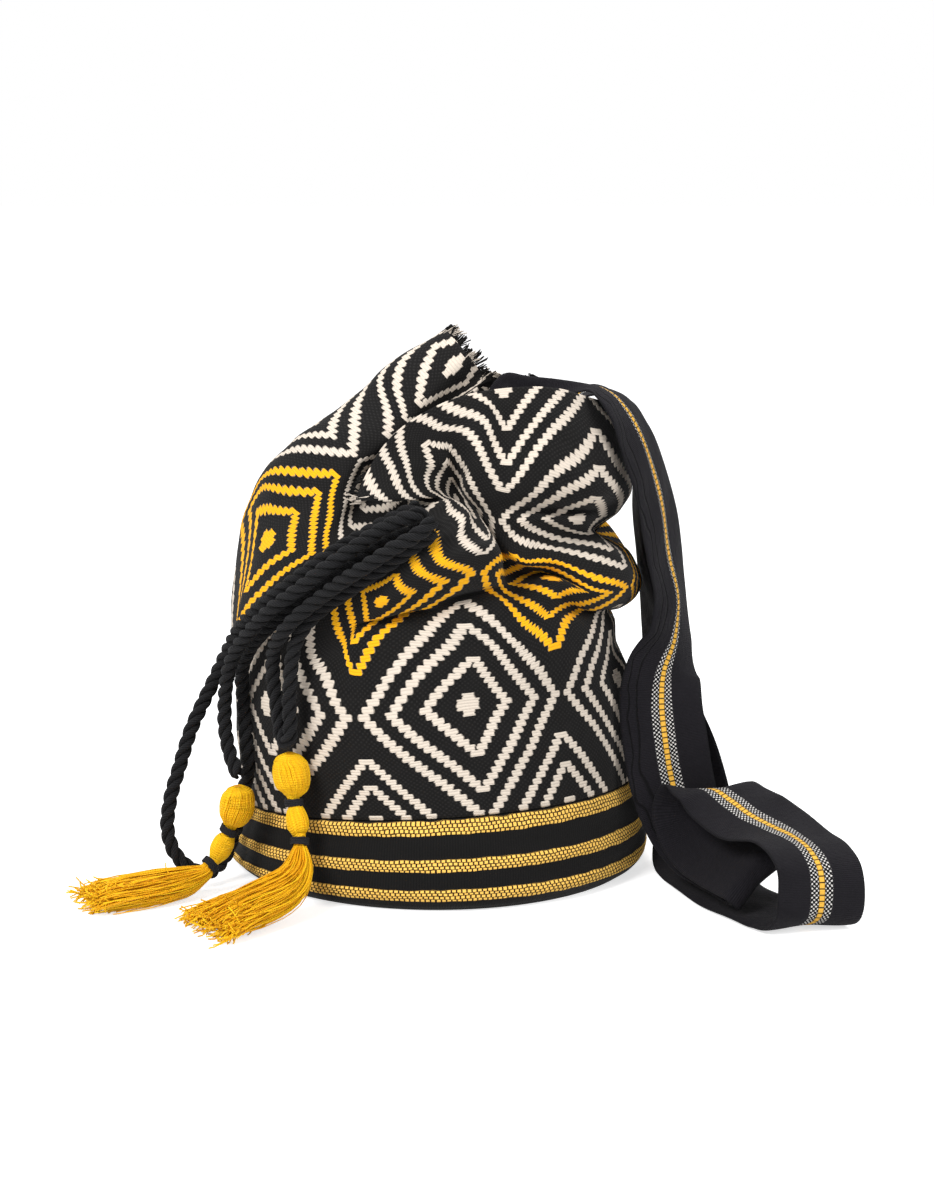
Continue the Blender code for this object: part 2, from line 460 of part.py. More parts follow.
def shoulder_strap():
    """One flat band, folded lengthwise where it hangs and rolled up on the floor."""
    stations = np.array(STRAP_STATIONS, float)
    folds = np.array(STRAP_FOLDS, float)
    middle = stations[:, :3] * MM
    numbers = np.arange(len(stations))
    drops = np.column_stack([np.interp(numbers, folds[:, 0], folds[:, i]) for i in (1, 2)])
    width_share = np.interp(numbers, folds[:, 0], folds[:, 3])
    reach = along(middle)
    places = np.sort(np.concatenate([reach, (reach[1:] + reach[:-1]) / 2]))
    values = np.column_stack([middle, np.radians(stations[:, 3:]), np.radians(drops), width_share])
    smooth = through(reach, values, places)
    middle = smooth[:, :3]
    middle[:, 2] = np.maximum(middle[:, 2], STRAP_LOWEST)
    ahead = np.gradient(middle, axis=0)
    ahead /= np.linalg.norm(ahead, axis=1, keepdims=True)
    rings = []
    for centre, forward, lie in zip(middle, ahead, smooth[:, 3:]):
        left_turn, right_turn, left_drop, right_drop, width_left = lie
        left = band_side(-math.cos(left_turn), math.sin(left_turn), left_drop, forward)
        right = band_side(math.cos(right_turn), math.sin(right_turn), right_drop, forward)
        left_face = np.cross(forward, left)
        right_face = -np.cross(forward, right)
        crest = left_face + right_face
        crest /= np.linalg.norm(crest)
        half = STRAP_THICKNESS / 2
        half_width = STRAP_HALF_WIDTH * width_left
        left_edge = centre + left * half_width
        right_edge = centre + right * half_width
        rings += [left_edge - left_face * half, centre - crest * half, right_edge - right_face * half,
                  right_edge + right_face * half, centre + crest * half, left_edge + left_face * half]
    return add_object("shoulder_strap", rings, ring_faces(len(middle), 6, False), STRAP_CHARCOAL, 0.9)


def cord(name, route):
    """A round cord along a smooth curve through its route."""
    points = np.array(route, float) * MM
    reach = along(points)
    count = int(reach[-1] / CORD_STEP)
    smooth = through(reach, points, np.linspace(0, reach[-1], count))
    curve = bpy.data.curves.new(name, "CURVE")
    curve.dimensions = "3D"
    curve.bevel_depth = CORD_DIAMETER / 2
    curve.bevel_resolution = 2
    curve.use_fill_caps = True
    spline = curve.splines.new("POLY")
    spline.points.add(len(smooth) - 1)
    for point, place in zip(spline.points, smooth):
        point.co = (*place, 1.0)
    made = bpy.data.objects.new(name, curve)
    bpy.context.scene.collection.objects.link(made)
    curve.materials.append(plain_material(name, CLOTH_BLACK, 0.85))
    return made


def section_frames(points):
    """Across and up directions along a tassel's middle line; where the yarn lies, across is level."""
    ahead = np.gradient(points, axis=0)
    ahead /= np.linalg.norm(ahead, axis=1, keepdims=True)
    lying = np.clip((LYING_BELOW - points[:, 2]) / LYING_SPAN, 0, 1)
    across = np.cross(ahead, np.stack([0 * lying, 0.8 * (lying - 1), 0.6 + 0.4 * lying], axis=1))
    across /= np.linalg.norm(across, axis=1, keepdims=True)
    return across, np.cross(across, ahead)


def tassel(name, stations):
    """Bound yarn: two balls and a loose skirt, swept along the tassel's middle line."""
    stations = np.array(stations, float) * MM
    points, sizes = stations[:, :3], stations[:, 3:]
    across, up = section_frames(points)
    sides = YARN_SIDES
    rings = []
    for point, wide, high, size in zip(points, across, up, sizes):
        for j in range(sides):
            a = 2 * math.pi * j / sides
            place = point + wide * math.cos(a) * size[0] + high * math.sin(a) * size[1]
            rings.append((place[0], place[1], max(place[2], YARN_LOWEST)))
    faces = ring_faces(len(points), sides, False)
    return add_object(name, rings, faces, YARN_YELLOW, 0.6)


def tie(name, stations, neck):
    """Thread wound round a tassel's neck, as one ring."""
    stations = np.array(stations, float) * MM
    start, end = stations[neck, :3], stations[neck + 1, :3]
    middle = (start + end) / 2
    ahead = (end - start) / np.linalg.norm(end - start)
    across = np.cross(ahead, (0.0, -0.8, 0.6))
    across /= np.linalg.norm(across)
    up = np.cross(across, ahead)
    inner = stations[neck, 3] + GAP
    rings = []
    for i in range(TIE_STEPS):
        a = 2 * math.pi * i / TIE_STEPS
        spoke = across * math.cos(a) + up * math.sin(a)
        section = ((inner, 0.5), (inner + TIE_WALL, 0.3), (inner + TIE_WALL, -0.3), (inner, -0.5))
        rings += [middle + spoke * r + ahead * TIE_LENGTH * s for r, s in section]
    return add_object(name, rings, ring_faces(TIE_STEPS, 4, True), CLOTH_BLACK, 0.85)


def main():
    for old in list(bpy.data.objects):
        bpy.data.objects.remove(old, do_unlink=True)
    bag_body()
    base_band()
    base_disc()
    shoulder_strap()
    cord("drawcord_left", LEFT_CORD_ROUTE)
    cord("drawcord_front", FRONT_CORD_ROUTE)
    tassel("tassel_front", FRONT_TASSEL)
    tie("tassel_front_upper_tie", FRONT_TASSEL, UPPER_NECK)
    tie("tassel_front_lower_tie", FRONT_TASSEL, LOWER_NECK)
    tassel("tassel_left", LEFT_TASSEL)
    tie("tassel_left_upper_tie", LEFT_TASSEL, UPPER_NECK)
    tie("tassel_left_lower_tie", LEFT_TASSEL, LOWER_NECK)


main()
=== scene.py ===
"""A slumped, hand-woven drawstring bucket bag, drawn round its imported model."""
import math

import bpy
import numpy as np
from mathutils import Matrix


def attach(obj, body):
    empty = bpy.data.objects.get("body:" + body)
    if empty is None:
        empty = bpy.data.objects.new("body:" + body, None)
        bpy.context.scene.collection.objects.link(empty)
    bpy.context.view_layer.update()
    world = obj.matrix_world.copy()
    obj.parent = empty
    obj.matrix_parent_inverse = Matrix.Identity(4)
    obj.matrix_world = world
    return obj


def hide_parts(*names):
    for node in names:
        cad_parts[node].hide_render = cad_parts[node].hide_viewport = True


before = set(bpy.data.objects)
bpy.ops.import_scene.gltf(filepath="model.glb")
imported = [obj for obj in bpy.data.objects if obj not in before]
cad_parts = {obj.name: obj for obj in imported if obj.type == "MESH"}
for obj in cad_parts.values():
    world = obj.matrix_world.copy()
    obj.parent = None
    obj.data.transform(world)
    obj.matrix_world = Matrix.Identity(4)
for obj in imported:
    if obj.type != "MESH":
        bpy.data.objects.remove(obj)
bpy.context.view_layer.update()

# Bag body. One tube of hand-woven cotton, black, with stepped diamonds in cream and yellow weft
# that floats over the ground. It is sewn to the foot, and slumps forward where the drawcord
# gathers it. The pattern is laid out on the cloth's own coordinates: columns and height.
MM = 0.001
CLOTH_THICKNESS = 0.0022
SEAM_RADIUS = 0.1215
SEAM_GAP = 0.0004
TUBE_HEIGHT = 0.349
COLUMN_WIDTH = 0.061
SEAM_MEAN = 0.0456
SEAM_TO_FRONT = 0.0094
SEAM_TO_RIGHT = 0.0068
COLUMN_ANGLE = 28.8
COLUMNS_ROUND = 12.5
PATTERN_ROUND = 12.0
SEEN_HALF = 4.0
VIEW_DOWN = math.radians(11.0)
VIEW_FAR = 1.8
VIEW_SCALE = 2910.0
VIEW_MIDDLE = (467.0, 600.0)
VIEW_TARGET = np.array([0.018, 0.0, 0.162])
CREAM = (0.69, 0.605, 0.51)
YELLOW = (0.94, 0.46, 0.011)
BLACK = (0.0066, 0.0062, 0.0060)
WEFT_STEP = 0.0037
DIAMOND_HALF = 0.093
DIAMOND_RINGS = ((0.92, 0.0725), (0.674, 0.0533), (0.375, 0.031))
EVEN_MIDDLE, ODD_MIDDLE = 0.068, 0.163
UV_STRETCH = 10

# Number of a column of the pattern, and up along it: height on the cloth (mm), where the view
# shows it (across and down), and its depth (mm)
SEEN_COLUMNS = {
    -4.2: [(100, 238, 624, 34), (140, 238, 566, 32), (168, 242, 534, 28), (188, 252, 510, 24),
        (210, 270, 483, 20), (234, 296, 454, 16), (256, 324, 430, 12), (274, 352, 406, 10),
        (310, 398, 370, 8), (349, 443, 339, 8)],
    -3.5: [(120, 236, 625, -12), (163, 256, 508, -28), (200, 270, 470, -38), (230, 296, 443, -45),
        (256, 322, 424, -46), (281, 352, 405, -42), (316, 392, 366, -34), (349, 447, 331, -26)],
    -3.0: [(120, 240, 612, -36), (140, 250, 578, -45), (163, 267, 540, -55), (200, 302, 506, -72),
        (230, 332, 478, -79), (256, 360, 456, -76), (281, 392, 434, -68), (320, 430, 392, -54),
        (349, 466, 353, -42)],
    -2.5: [(120, 268, 610, -74), (140, 282, 580, -78), (163, 300, 552, -84), (200, 333, 516, -88),
        (230, 352, 490, -80), (256, 372, 470, -64), (281, 402, 445, -54), (320, 440, 410, -46),
        (349, 482, 376, -38)],
    -2.0: [(120, 298, 615, -96), (140, 314, 588, -98), (163, 331, 558, -100), (190, 346, 535, -94),
        (215, 358, 516, -80), (240, 374, 496, -68), (256, 386, 480, -64), (281, 408, 454, -58),
        (320, 440, 420, -52), (349, 472, 392, -46)],
    -1.6: [(120, 322, 632, -102), (140, 336, 610, -105), (163, 352, 584, -110), (190, 371, 560, -108),
        (215, 386, 540, -98), (240, 398, 516, -82), (256, 402, 498, -74), (281, 412, 472, -68),
        (320, 430, 438, -66), (349, 450, 414, -62)],
    -1.3: [(95, 336, 660, -106), (120, 346, 636, -106), (140, 356, 615, -110), (163, 366, 594, -118),
        (190, 380, 572, -120), (215, 396, 550, -112), (240, 410, 524, -98), (256, 414, 508, -88),
        (281, 410, 492, -84), (320, 402, 474, -84), (349, 398, 462, -82)],
    -1.0: [(95, 355, 668, -112), (112, 354, 640, -112), (125, 362, 624, -106), (140, 372, 618, -114),
        (163, 381, 602, -126), (190, 393, 578, -130), (215, 410, 550, -125), (235, 428, 523, -116),
        (250, 441, 503, -104), (263, 438, 500, -92), (281, 428, 498, -95), (300, 414, 500, -102),
        (325, 388, 501, -104), (349, 360, 500, -102)],
    -0.5: [(95, 408, 660, -118), (120, 407, 622, -114), (130, 410, 611, -106), (140, 414, 612, -116),
        (163, 424, 589, -132), (190, 434, 564, -137), (210, 451, 540, -131), (226, 466, 517, -116),
        (240, 461, 505, -98), (256, 449, 497, -90), (270, 439, 492, -88), (281, 431, 489, -93),
        (300, 419, 478, -96), (325, 400, 466, -96), (349, 373, 461, -92)],
    0.0: [(100, 465, 656, -120), (137, 462, 604, -115), (146, 464, 595, -107), (154, 472, 588, -118),
        (163, 478, 572, -128), (180, 482, 556, -134), (195, 486, 544, -129), (207, 488, 535, -114),
        (225, 474, 516, -96), (240, 463, 506, -84), (256, 456, 497, -80), (270, 453, 488, -79),
        (290, 450, 474, -83), (309, 444, 460, -88), (323, 428, 445, -90), (349, 407, 423, -88)],
    0.3: [(110, 497, 640, -117), (137, 495, 598, -112), (148, 492, 590, -103), (156, 495, 584, -112),
        (163, 497, 574, -118), (180, 501, 558, -121), (193, 498, 546, -112), (207, 491, 533, -100),
        (225, 480, 517, -88), (240, 470, 506, -82), (256, 463, 497, -78), (270, 460, 487, -76),
        (290, 460, 474, -80), (306, 451, 446, -86), (334, 440, 425, -86), (349, 440, 404, -82)],
    0.6: [(110, 522, 636, -111), (135, 520, 604, -105), (155, 512, 588, -90), (175, 508, 578, -84),
        (200, 502, 562, -84), (225, 490, 538, -82), (250, 478, 512, -84), (262, 470, 498, -92),
        (280, 469, 478, -97), (300, 475, 455, -96), (325, 480, 420, -88), (349, 470, 394, -80)],
    1.0: [(95, 555, 642, -104), (110, 549, 617, -102), (120, 551, 608, -98), (132, 557, 598, -96),
        (150, 557, 584, -94), (163, 552, 577, -88), (180, 545, 574, -74), (200, 535, 569, -80),
        (216, 526, 565, -92), (230, 518, 560, -96), (245, 502, 538, -90), (256, 496, 517, -92),
        (281, 504, 487, -98), (315, 507, 434, -86), (349, 503, 388, -76)],
    1.5: [(95, 588, 640, -82), (110, 586, 622, -78), (124, 584, 611, -64), (136, 586, 609, -76),
        (146, 592, 603, -90), (163, 594, 594, -97), (180, 589, 586, -94), (195, 576, 570, -92),
        (210, 562, 556, -90), (225, 545, 544, -82), (240, 535, 530, -84), (256, 536, 517, -86),
        (264, 538, 511, -78), (275, 545, 498, -90), (290, 549, 474, -95), (315, 552, 432, -86),
        (349, 549, 387, -72)],
    2.0: [(85, 610, 660, -50), (100, 608, 630, -48), (112, 606, 612, -36), (125, 612, 609, -44),
        (145, 624, 602, -58), (163, 630, 586, -66), (188, 622, 562, -68), (205, 608, 547, -62),
        (222, 592, 535, -48), (238, 582, 529, -60), (256, 577, 517, -72), (266, 584, 511, -62),
        (277, 592, 504, -74), (292, 599, 489, -80), (309, 600, 463, -74), (323, 597, 434, -66),
        (349, 588, 396, -54)],
    2.5: [(90, 614, 640, -22), (105, 614, 618, -20), (118, 608, 610, -14), (130, 618, 608, -18),
        (148, 635, 596, -26), (166, 638, 577, -28), (188, 626, 550, -26), (210, 600, 536, -20),
        (235, 597, 526, -24), (256, 612, 514, -36), (275, 626, 496, -40), (300, 628, 464, -36),
        (323, 620, 430, -30), (349, 606, 404, -22)],
    3.0: [(90, 616, 640, 12), (105, 615, 618, 14), (118, 609, 610, 14), (130, 620, 606, 12),
        (148, 637, 592, 10), (166, 639, 573, 9), (188, 626, 548, 12), (210, 600, 535, 14),
        (235, 599, 525, 8), (256, 620, 508, 4), (275, 629, 490, 2), (300, 628, 462, 6), (323, 618, 432, 10),
        (349, 604, 410, 14)],
}

# The same at the back, which isn't seen, with the place itself: height on the cloth, x, y, z (mm)
BACK_COLUMNS = {
    3.9: [(100, 99, 56, 148), (130, 98, 56, 166), (155, 105, 60, 182), (180, 101, 58, 202),
        (210, 92, 54, 216), (240, 92, 52, 232), (270, 98, 54, 254), (310, 90, 54, 278), (349, 74, 52, 290)],
    4.8: [(100, 62, 96, 142), (130, 62, 95, 162), (155, 68, 102, 180), (180, 66, 100, 200),
        (210, 54, 88, 218), (240, 52, 84, 236), (270, 54, 86, 258), (310, 50, 82, 278), (349, 42, 76, 291)],
    5.7: [(100, 12, 110, 138), (130, 12, 110, 164), (155, 12, 114, 182), (180, 12, 110, 204),
        (210, 10, 98, 224), (240, 10, 92, 246), (270, 8, 92, 268), (310, 6, 84, 285), (349, 4, 76, 298)],
    -5.8: [(100, -40, 104, 136), (130, -40, 102, 164), (155, -42, 100, 186), (180, -42, 94, 208),
        (210, -38, 82, 230), (240, -34, 76, 252), (270, -32, 74, 274), (310, -26, 66, 296),
        (349, -7, 60, 304)],
    -5.0: [(100, -86, 74, 138), (130, -86, 72, 166), (155, -84, 68, 188), (180, -80, 62, 210),
        (210, -74, 54, 232), (240, -68, 48, 254), (270, -52, 42, 271), (310, -29, 37, 293),
        (349, -7, 34, 309)],
}


def through(knots, values, places):
    """Smooth curve through the values, with its slope at each knot from the neighbours."""
    knots = np.asarray(knots, float)
    values = np.asarray(values, float)
    places = np.asarray(places, float)
    step = np.diff(knots)
    rise = np.diff(values, axis=0) / step[:, None]
    slope = np.empty_like(values)
    slope[0], slope[-1] = rise[0], rise[-1]
    weight = step[:-1] + step[1:]
    slope[1:-1] = (rise[:-1] * step[1:, None] + rise[1:] * step[:-1, None]) / weight[:, None]
    piece = np.clip(np.searchsorted(knots, places, side="right") - 1, 0, len(knots) - 2)
    t = ((places - knots[piece]) / step[piece])[:, None]
    span = step[piece][:, None]
    start, end = values[piece], values[piece + 1]
    return ((2 * t**3 - 3 * t**2 + 1) * start + (t**3 - 2 * t**2 + t) * span * slope[piece]
            + (3 * t**2 - 2 * t**3) * end + (t**3 - t**2) * span * slope[piece + 1])


def along(points):
    """Distance of each point from the first one, following the points."""
    return np.concatenate([[0.0], np.cumsum(np.linalg.norm(np.diff(points, axis=0), axis=1))])


def unit(vectors):
    """The vectors at length one."""
    return vectors / (np.linalg.norm(vectors, axis=-1, keepdims=True) + 1e-12)


def seen_at(across, down, depth):
    """Place in metres of a pixel of the view at a given depth."""
    right = (across - VIEW_MIDDLE[0]) / VIEW_SCALE
    up = (VIEW_MIDDLE[1] - down) / VIEW_SCALE
    cosine, sine = math.cos(VIEW_DOWN), math.sin(VIEW_DOWN)
    far = (depth + cosine * VIEW_FAR) / (cosine + sine * up)
    ahead = np.array([0.0, cosine, -sine]) * (far - VIEW_FAR)
    return VIEW_TARGET + ahead + np.array([right, up * sine, up * cosine]) * far


def seam_height(angle):
    """Height of the seam round the foot; the angle is zero at the front and grows to the right."""
    return SEAM_MEAN + SEAM_TO_FRONT * math.cos(angle) + SEAM_TO_RIGHT * math.sin(angle)


def lower_wall(column, height):
    """The upright part of the tube above the seam, slightly turned and leaning."""
    turn = np.interp(height, [0, 0.07, 0.12], [2.0, -1.5, -2.5])
    angle = math.radians(10 + COLUMN_ANGLE * column + turn)
    radius = np.interp(height, [0, 0.035, 0.07, 0.10], [SEAM_RADIUS, 0.1225, SEAM_RADIUS, 0.118])
    lean = -0.057 * height
    return (lean + radius * math.sin(angle), -radius * math.cos(angle),
            seam_height(angle) + SEAM_GAP + height * 0.985)


def tube_surface(columns, heights):
    """Places of the cloth at the given columns and cloth heights, one row of the result a column."""
    known = {}
    for column, points in SEEN_COLUMNS.items():
        known[column] = [(v * MM, *seen_at(x, y, d * MM)) for v, x, y, d in points]
    for column, points in BACK_COLUMNS.items():
        known[column] = [(v * MM, x * MM, y * MM, z * MM) for v, x, y, z in points]
    order = sorted(known)
    lines = []
    for column in order:
        low = [(v, *lower_wall(column, v)) for v in (0.0, 0.035, 0.07)]
        line = np.array(low + known[column])
        lines.append(through(line[:, 0], line[:, 1:], heights))
    lines = np.array(lines)
    around = [k - COLUMNS_ROUND for k in order[-3:]] + order + [k + COLUMNS_ROUND for k in order[:3]]
    lines = np.concatenate([lines[-3:], lines, lines[:3]])
    flat = through(around, lines.reshape(len(around), -1), columns)
    return flat.reshape(len(columns), len(heights), 3)


def cloth_net(columns, heights):
    """Places and outward directions of the cloth; the last column meets the first."""
    places = tube_surface(columns, heights)
    ripple_k, ripple_v = np.meshgrid(columns * 2 * math.pi / COLUMNS_ROUND, heights, indexing="ij")
    ripple = (np.sin(9 * ripple_k + 70 * ripple_v) * np.sin(5 * ripple_k - 95 * ripple_v + 1.0)
              + 0.6 * np.sin(17 * ripple_k + 120 * ripple_v + 2.0) * np.sin(150 * ripple_v - 7 * ripple_k))
    along_k = np.roll(places[:-1], -1, axis=0) - np.roll(places[:-1], 1, axis=0)
    along_k = np.concatenate([along_k, along_k[:1]])
    along_v = np.gradient(places, axis=1)
    out = unit(np.cross(along_k, along_v))
    fade = np.clip(heights / 0.03, 0, 1)
    return places + out * (ripple * fade)[:, :, None] * 0.00055, out


class Value:
    """A shader socket in a Python expression; each operation adds the node that works it out."""

    def __init__(self, tree, socket=None):
        self.tree, self.socket = tree, socket

    def make(self, kind, settings=(), inputs=(), output=0):
        node = self.tree.nodes.new(kind)
        for name, value in dict(settings).items():
            setattr(node, name, value)
        for name, value in dict(inputs).items():
            if isinstance(value, Value):
                self.tree.links.new(value.socket, node.inputs[name])
            else:
                node.inputs[name].default_value = value
        return Value(self.tree, node.outputs[output])

    def maths(self, operation, *values):
        return self.make("ShaderNodeMath", {"operation": operation}, dict(enumerate(values)))

    def __add__(self, other):
        return self.maths("ADD", self, other)

    __radd__ = __add__

    def __sub__(self, other):
        return self.maths("SUBTRACT", self, other)

    def __rsub__(self, other):
        return self.maths("SUBTRACT", other, self)

    def __mul__(self, other):
        return self.maths("MULTIPLY", self, other)

    __rmul__ = __mul__

    def __truediv__(self, other):
        return self.maths("DIVIDE", self, other)

    def __mod__(self, other):
        return self.maths("FLOORED_MODULO", self, other)

    def __abs__(self):
        return self.maths("ABSOLUTE", self)

    def __lt__(self, other):
        return self.maths("LESS_THAN", self, other)

    def least(self, other):
        return self.maths("MINIMUM", self, other)

    def most(self, other):
        return self.maths("MAXIMUM", self, other)

    def floor(self):
        return self.maths("FLOOR", self)

    def sine(self):
        return self.maths("SINE", self)

    def rise(self, low, high):
        """Smooth step from 0 at low to 1 at high."""
        return self.make("ShaderNodeMapRange", {"interpolation_type": "SMOOTHSTEP"},
                         {"Value": self, "From Min": low, "From Max": high})

    def blend(self, first, second):
        """A colour between two, by this value."""
        return self.make("ShaderNodeMix", {"data_type": "RGBA"},
                         {0: self, 6: colour(first), 7: colour(second)}, 2)

    def noise(self, scale, detail=2.0):
        return self.make("ShaderNodeTexNoise", {}, {"Scale": scale, "Detail": detail})


def colour(value):
    return value if isinstance(value, Value) else (*value, 1.0)


def new_material(name, roughness, sheen=0.0, specular=0.12):
    """A Principled material with its plain values, and a value to start expressions from."""
    made = bpy.data.materials.new(name)
    made.use_nodes = True
    shader = made.node_tree.nodes["Principled BSDF"]
    shader.inputs["Roughness"].default_value = roughness
    shader.inputs["Sheen Weight"].default_value = sheen
    shader.inputs["Sheen Roughness"].default_value = 0.5
    shader.inputs["Specular IOR Level"].default_value = specular
    return made, Value(made.node_tree), shader


def finish_surface(start, shader, base, height, distance):
    """Gives a material its colour and its relief, a height of 1 being the distance in metres."""
    bump = start.make("ShaderNodeBump", {}, {"Strength": 1.0, "Distance": distance, "Height": height})
    start.tree.links.new(base.socket, shader.inputs["Base Color"])
    start.tree.links.new(bump.socket, shader.inputs["Normal"])


def cloth_place(start):
    """The two coordinates of a piece's UV map, across and along."""
    uv = start.make("ShaderNodeUVMap", {"uv_map": "cloth"})
    split = start.make("ShaderNodeSeparateXYZ", {}, {0: uv})
    return split, Value(start.tree, split.socket.node.outputs[1])


def diamonds(column, height, shift, middle):
    """Mask of one lattice of nested diamonds, stepped, with floats that swell at each step."""
    across = abs((column - shift + 1.0) % 2.0 - 1.0)
    up = (height - middle + DIAMOND_HALF) % (2 * DIAMOND_HALF) - DIAMOND_HALF
    level = (up / WEFT_STEP + 0.5).floor() * WEFT_STEP
    within = abs(up - level) / (WEFT_STEP / 2)
    swell = 0.054 - 0.010 * within * within * within * within
    mask = None
    for wide, tall in DIAMOND_RINGS:
        line = abs(across - (wide - abs(level) * (wide / tall)))
        ring = (swell - line).rise(-0.008, 0.008) * (abs(level) < tall + 0.0005)
        mask = ring if mask is None else mask.most(ring)
    heart = (0.054 + swell - across).rise(-0.008, 0.008) * (abs(up) < 0.0036)
    narrow = (0.008 + swell - across).rise(-0.008, 0.008) * (abs(up) < 0.0073)
    return mask.most(heart).most(narrow)


def body_material():
    made, start, shader = new_material("woven_cotton", 0.9, 0.03)
    column, height = cloth_place(start)
    height = height * (1.0 / UV_STRETCH)
    seen_part = column.least(SEEN_HALF).most(-SEEN_HALF)
    squeeze = (0.5 * PATTERN_ROUND - SEEN_HALF) / (0.5 * COLUMNS_ROUND - SEEN_HALF)
    column = seen_part + (column - seen_part) * squeeze
    slump = (abs(column + 1.0) * -1.0 + 1.2).rise(0.0, 1.2) * (0.055 - abs(height - 0.045)).rise(0.0, 0.055)
    height = height + slump * 0.0075
    wander = start.noise(60.0, 1.0)
    thread_end = start.make("ShaderNodeTexWhiteNoise", {"noise_dimensions": "2D"}, {"Vector": start.make(
        "ShaderNodeCombineXYZ", {}, {0: (column * 6.0).floor(), 1: (height / (WEFT_STEP / 2)).floor()})})
    across = column + (wander - 0.5) * 0.02 + (thread_end - 0.5) * 0.012
    pulled = (column.least(0.0) * 0.11 + 0.08).most(-0.14) * (0.13 - height).rise(0.0, 0.03)
    even = diamonds(across - pulled, height, 0.0, EVEN_MIDDLE)
    crest = (column * -1.0 - 2.2).rise(0.0, 0.4) * (height - 0.29).rise(0.0, 0.02)
    crest = crest + (0.07 - height).rise(0.0, 0.02) * 0.5
    odd = diamonds(across, height + crest * 0.0095, 1.0, ODD_MIDDLE)
    yarn = even.most(odd)
    golden = odd * (abs(height - ODD_MIDDLE) < 0.08)
    rib = abs((height * (math.pi / (WEFT_STEP / 2))).sine())
    thread = (column * 190.0 + height * 700.0).sine() * 0.5 + 0.5
    fibre = start.noise(1500.0, 2.0)
    patch = start.noise(35.0, 3.0)
    slant = column * (COLUMN_WIDTH * math.pi / 0.0016) + (wander - 0.5) * 3.0
    rows = height * (math.pi / 0.0014) + (patch - 0.5) * 4.0
    twill = (slant.sine() * rows.sine()).rise(-0.1, 0.9)
    ground = (twill * 0.6 + fibre * 0.4).blend(tuple(0.3 * c for c in BLACK), tuple(3.0 * c for c in BLACK))
    ground = (patch.rise(0.3, 0.7) * 0.3).blend(ground, tuple(1.8 * c for c in BLACK))
    # Darker lines between the ribs of each float are painted shade in the grooves, mixed with a random fibre
    # tone; they darken the cream and the yellow alike.
    rib_shade_and_fibre = (rib * 0.55 + fibre * 0.6).rise(-0.25, 0.75)
    cream = rib_shade_and_fibre.blend(tuple(0.6 * c for c in CREAM), CREAM)
    gold = rib_shade_and_fibre.blend((0.80, 0.31, 0.006), YELLOW)
    base = yarn.blend(ground, golden.blend(cream, gold))
    relief = yarn * (0.75 + 0.25 * rib) + twill * 0.12 * (1.0 - yarn) + thread * yarn * 0.05 + fibre * 0.1
    finish_surface(start, shader, base, relief, 0.0009)
    return made


def add_piece(name, vertices, faces, materials, uvs=None, face_materials=None):
    """A smooth-shaded mesh piece in the scene; uvs has one pair a face corner."""
    mesh = bpy.data.meshes.new(name)
    mesh.from_pydata([tuple(map(float, v)) for v in vertices], [], faces)
    mesh.shade_smooth()
    for item in materials:
        mesh.materials.append(item)
    if uvs is not None:
        layer = mesh.uv_layers.new(name="cloth")
        layer.data.foreach_set("uv", np.asarray(uvs, np.float32).ravel())
    if face_materials is not None:
        mesh.polygons.foreach_set("material_index", np.asarray(face_materials, np.int32))
    made = bpy.data.objects.new(name, mesh)
    bpy.context.scene.collection.objects.link(made)
    return made


body_columns = np.concatenate([np.arange(-6.25, -4.25, 0.1), np.arange(-4.25, 3.25, 0.05),
                               np.arange(3.25, 6.2, 0.1), [6.25]])
body_heights = np.linspace(0.0, TUBE_HEIGHT, 156)
outer, outward = cloth_net(body_columns, body_heights)
inner = outer - outward * CLOTH_THICKNESS
wide, tall = len(body_columns) - 1, len(body_heights)
vertices = np.concatenate([outer[:-1].reshape(-1, 3), inner[:-1].reshape(-1, 3)])
faces, uvs, inside = [], [], wide * tall
for i in range(wide):
    after = (i + 1) % wide
    for j in range(tall - 1):
        corners = [(i, j), (i + 1, j), (i + 1, j + 1), (i, j + 1)]
        ids = [i * tall + j, after * tall + j, after * tall + j + 1, i * tall + j + 1]
        spots = [(body_columns[a], body_heights[b] * UV_STRETCH) for a, b in corners]
        faces.append(ids)
        uvs += spots
        faces.append([inside + q for q in ids[::-1]])
        uvs += spots[::-1]
    for j, flip in ((0, False), (tall - 1, True)):
        ids = [i * tall + j, inside + i * tall + j, inside + after * tall + j, after * tall + j]
        up = body_heights[j] * UV_STRETCH
        spots = [(body_columns[i], up)] * 2 + [(body_columns[i + 1], up)] * 2
        faces.append(ids[::-1] if flip else ids)
        uvs += spots[::-1] if flip else spots
body = add_piece("body_cloth", vertices, faces, [body_material()], uvs)
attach(body, "root")
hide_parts("bag_body")

# Fringe of the mouth. The ends of the warp stand out past the cloth's edge in short tufts, most
# of them black and some cream, all along the free part of the edge.
def fringe_material():
    made, start, shader = new_material("warp_ends", 0.9)
    run, tone = cloth_place(start)
    fibre = start.noise(1400.0, 2.0)
    dark = fibre.blend(tuple(0.4 * c for c in BLACK), tuple(2.0 * c for c in BLACK))
    base = tone.blend(dark, fibre.blend(tuple(0.6 * c for c in CREAM), CREAM))
    finish_surface(start, shader, base, fibre, 0.0002)
    return made


def tube_faces(count, sides, first=0):
    """Quads between rings of vertices, and a cap at both ends."""
    ring = range(sides)
    made = [[first + i * sides + j, first + i * sides + (j + 1) % sides,
             first + (i + 1) * sides + (j + 1) % sides, first + (i + 1) * sides + j]
            for i in range(count - 1) for j in ring]
    return made + [[first + j for j in ring][::-1], [first + (count - 1) * sides + j for j in ring]]


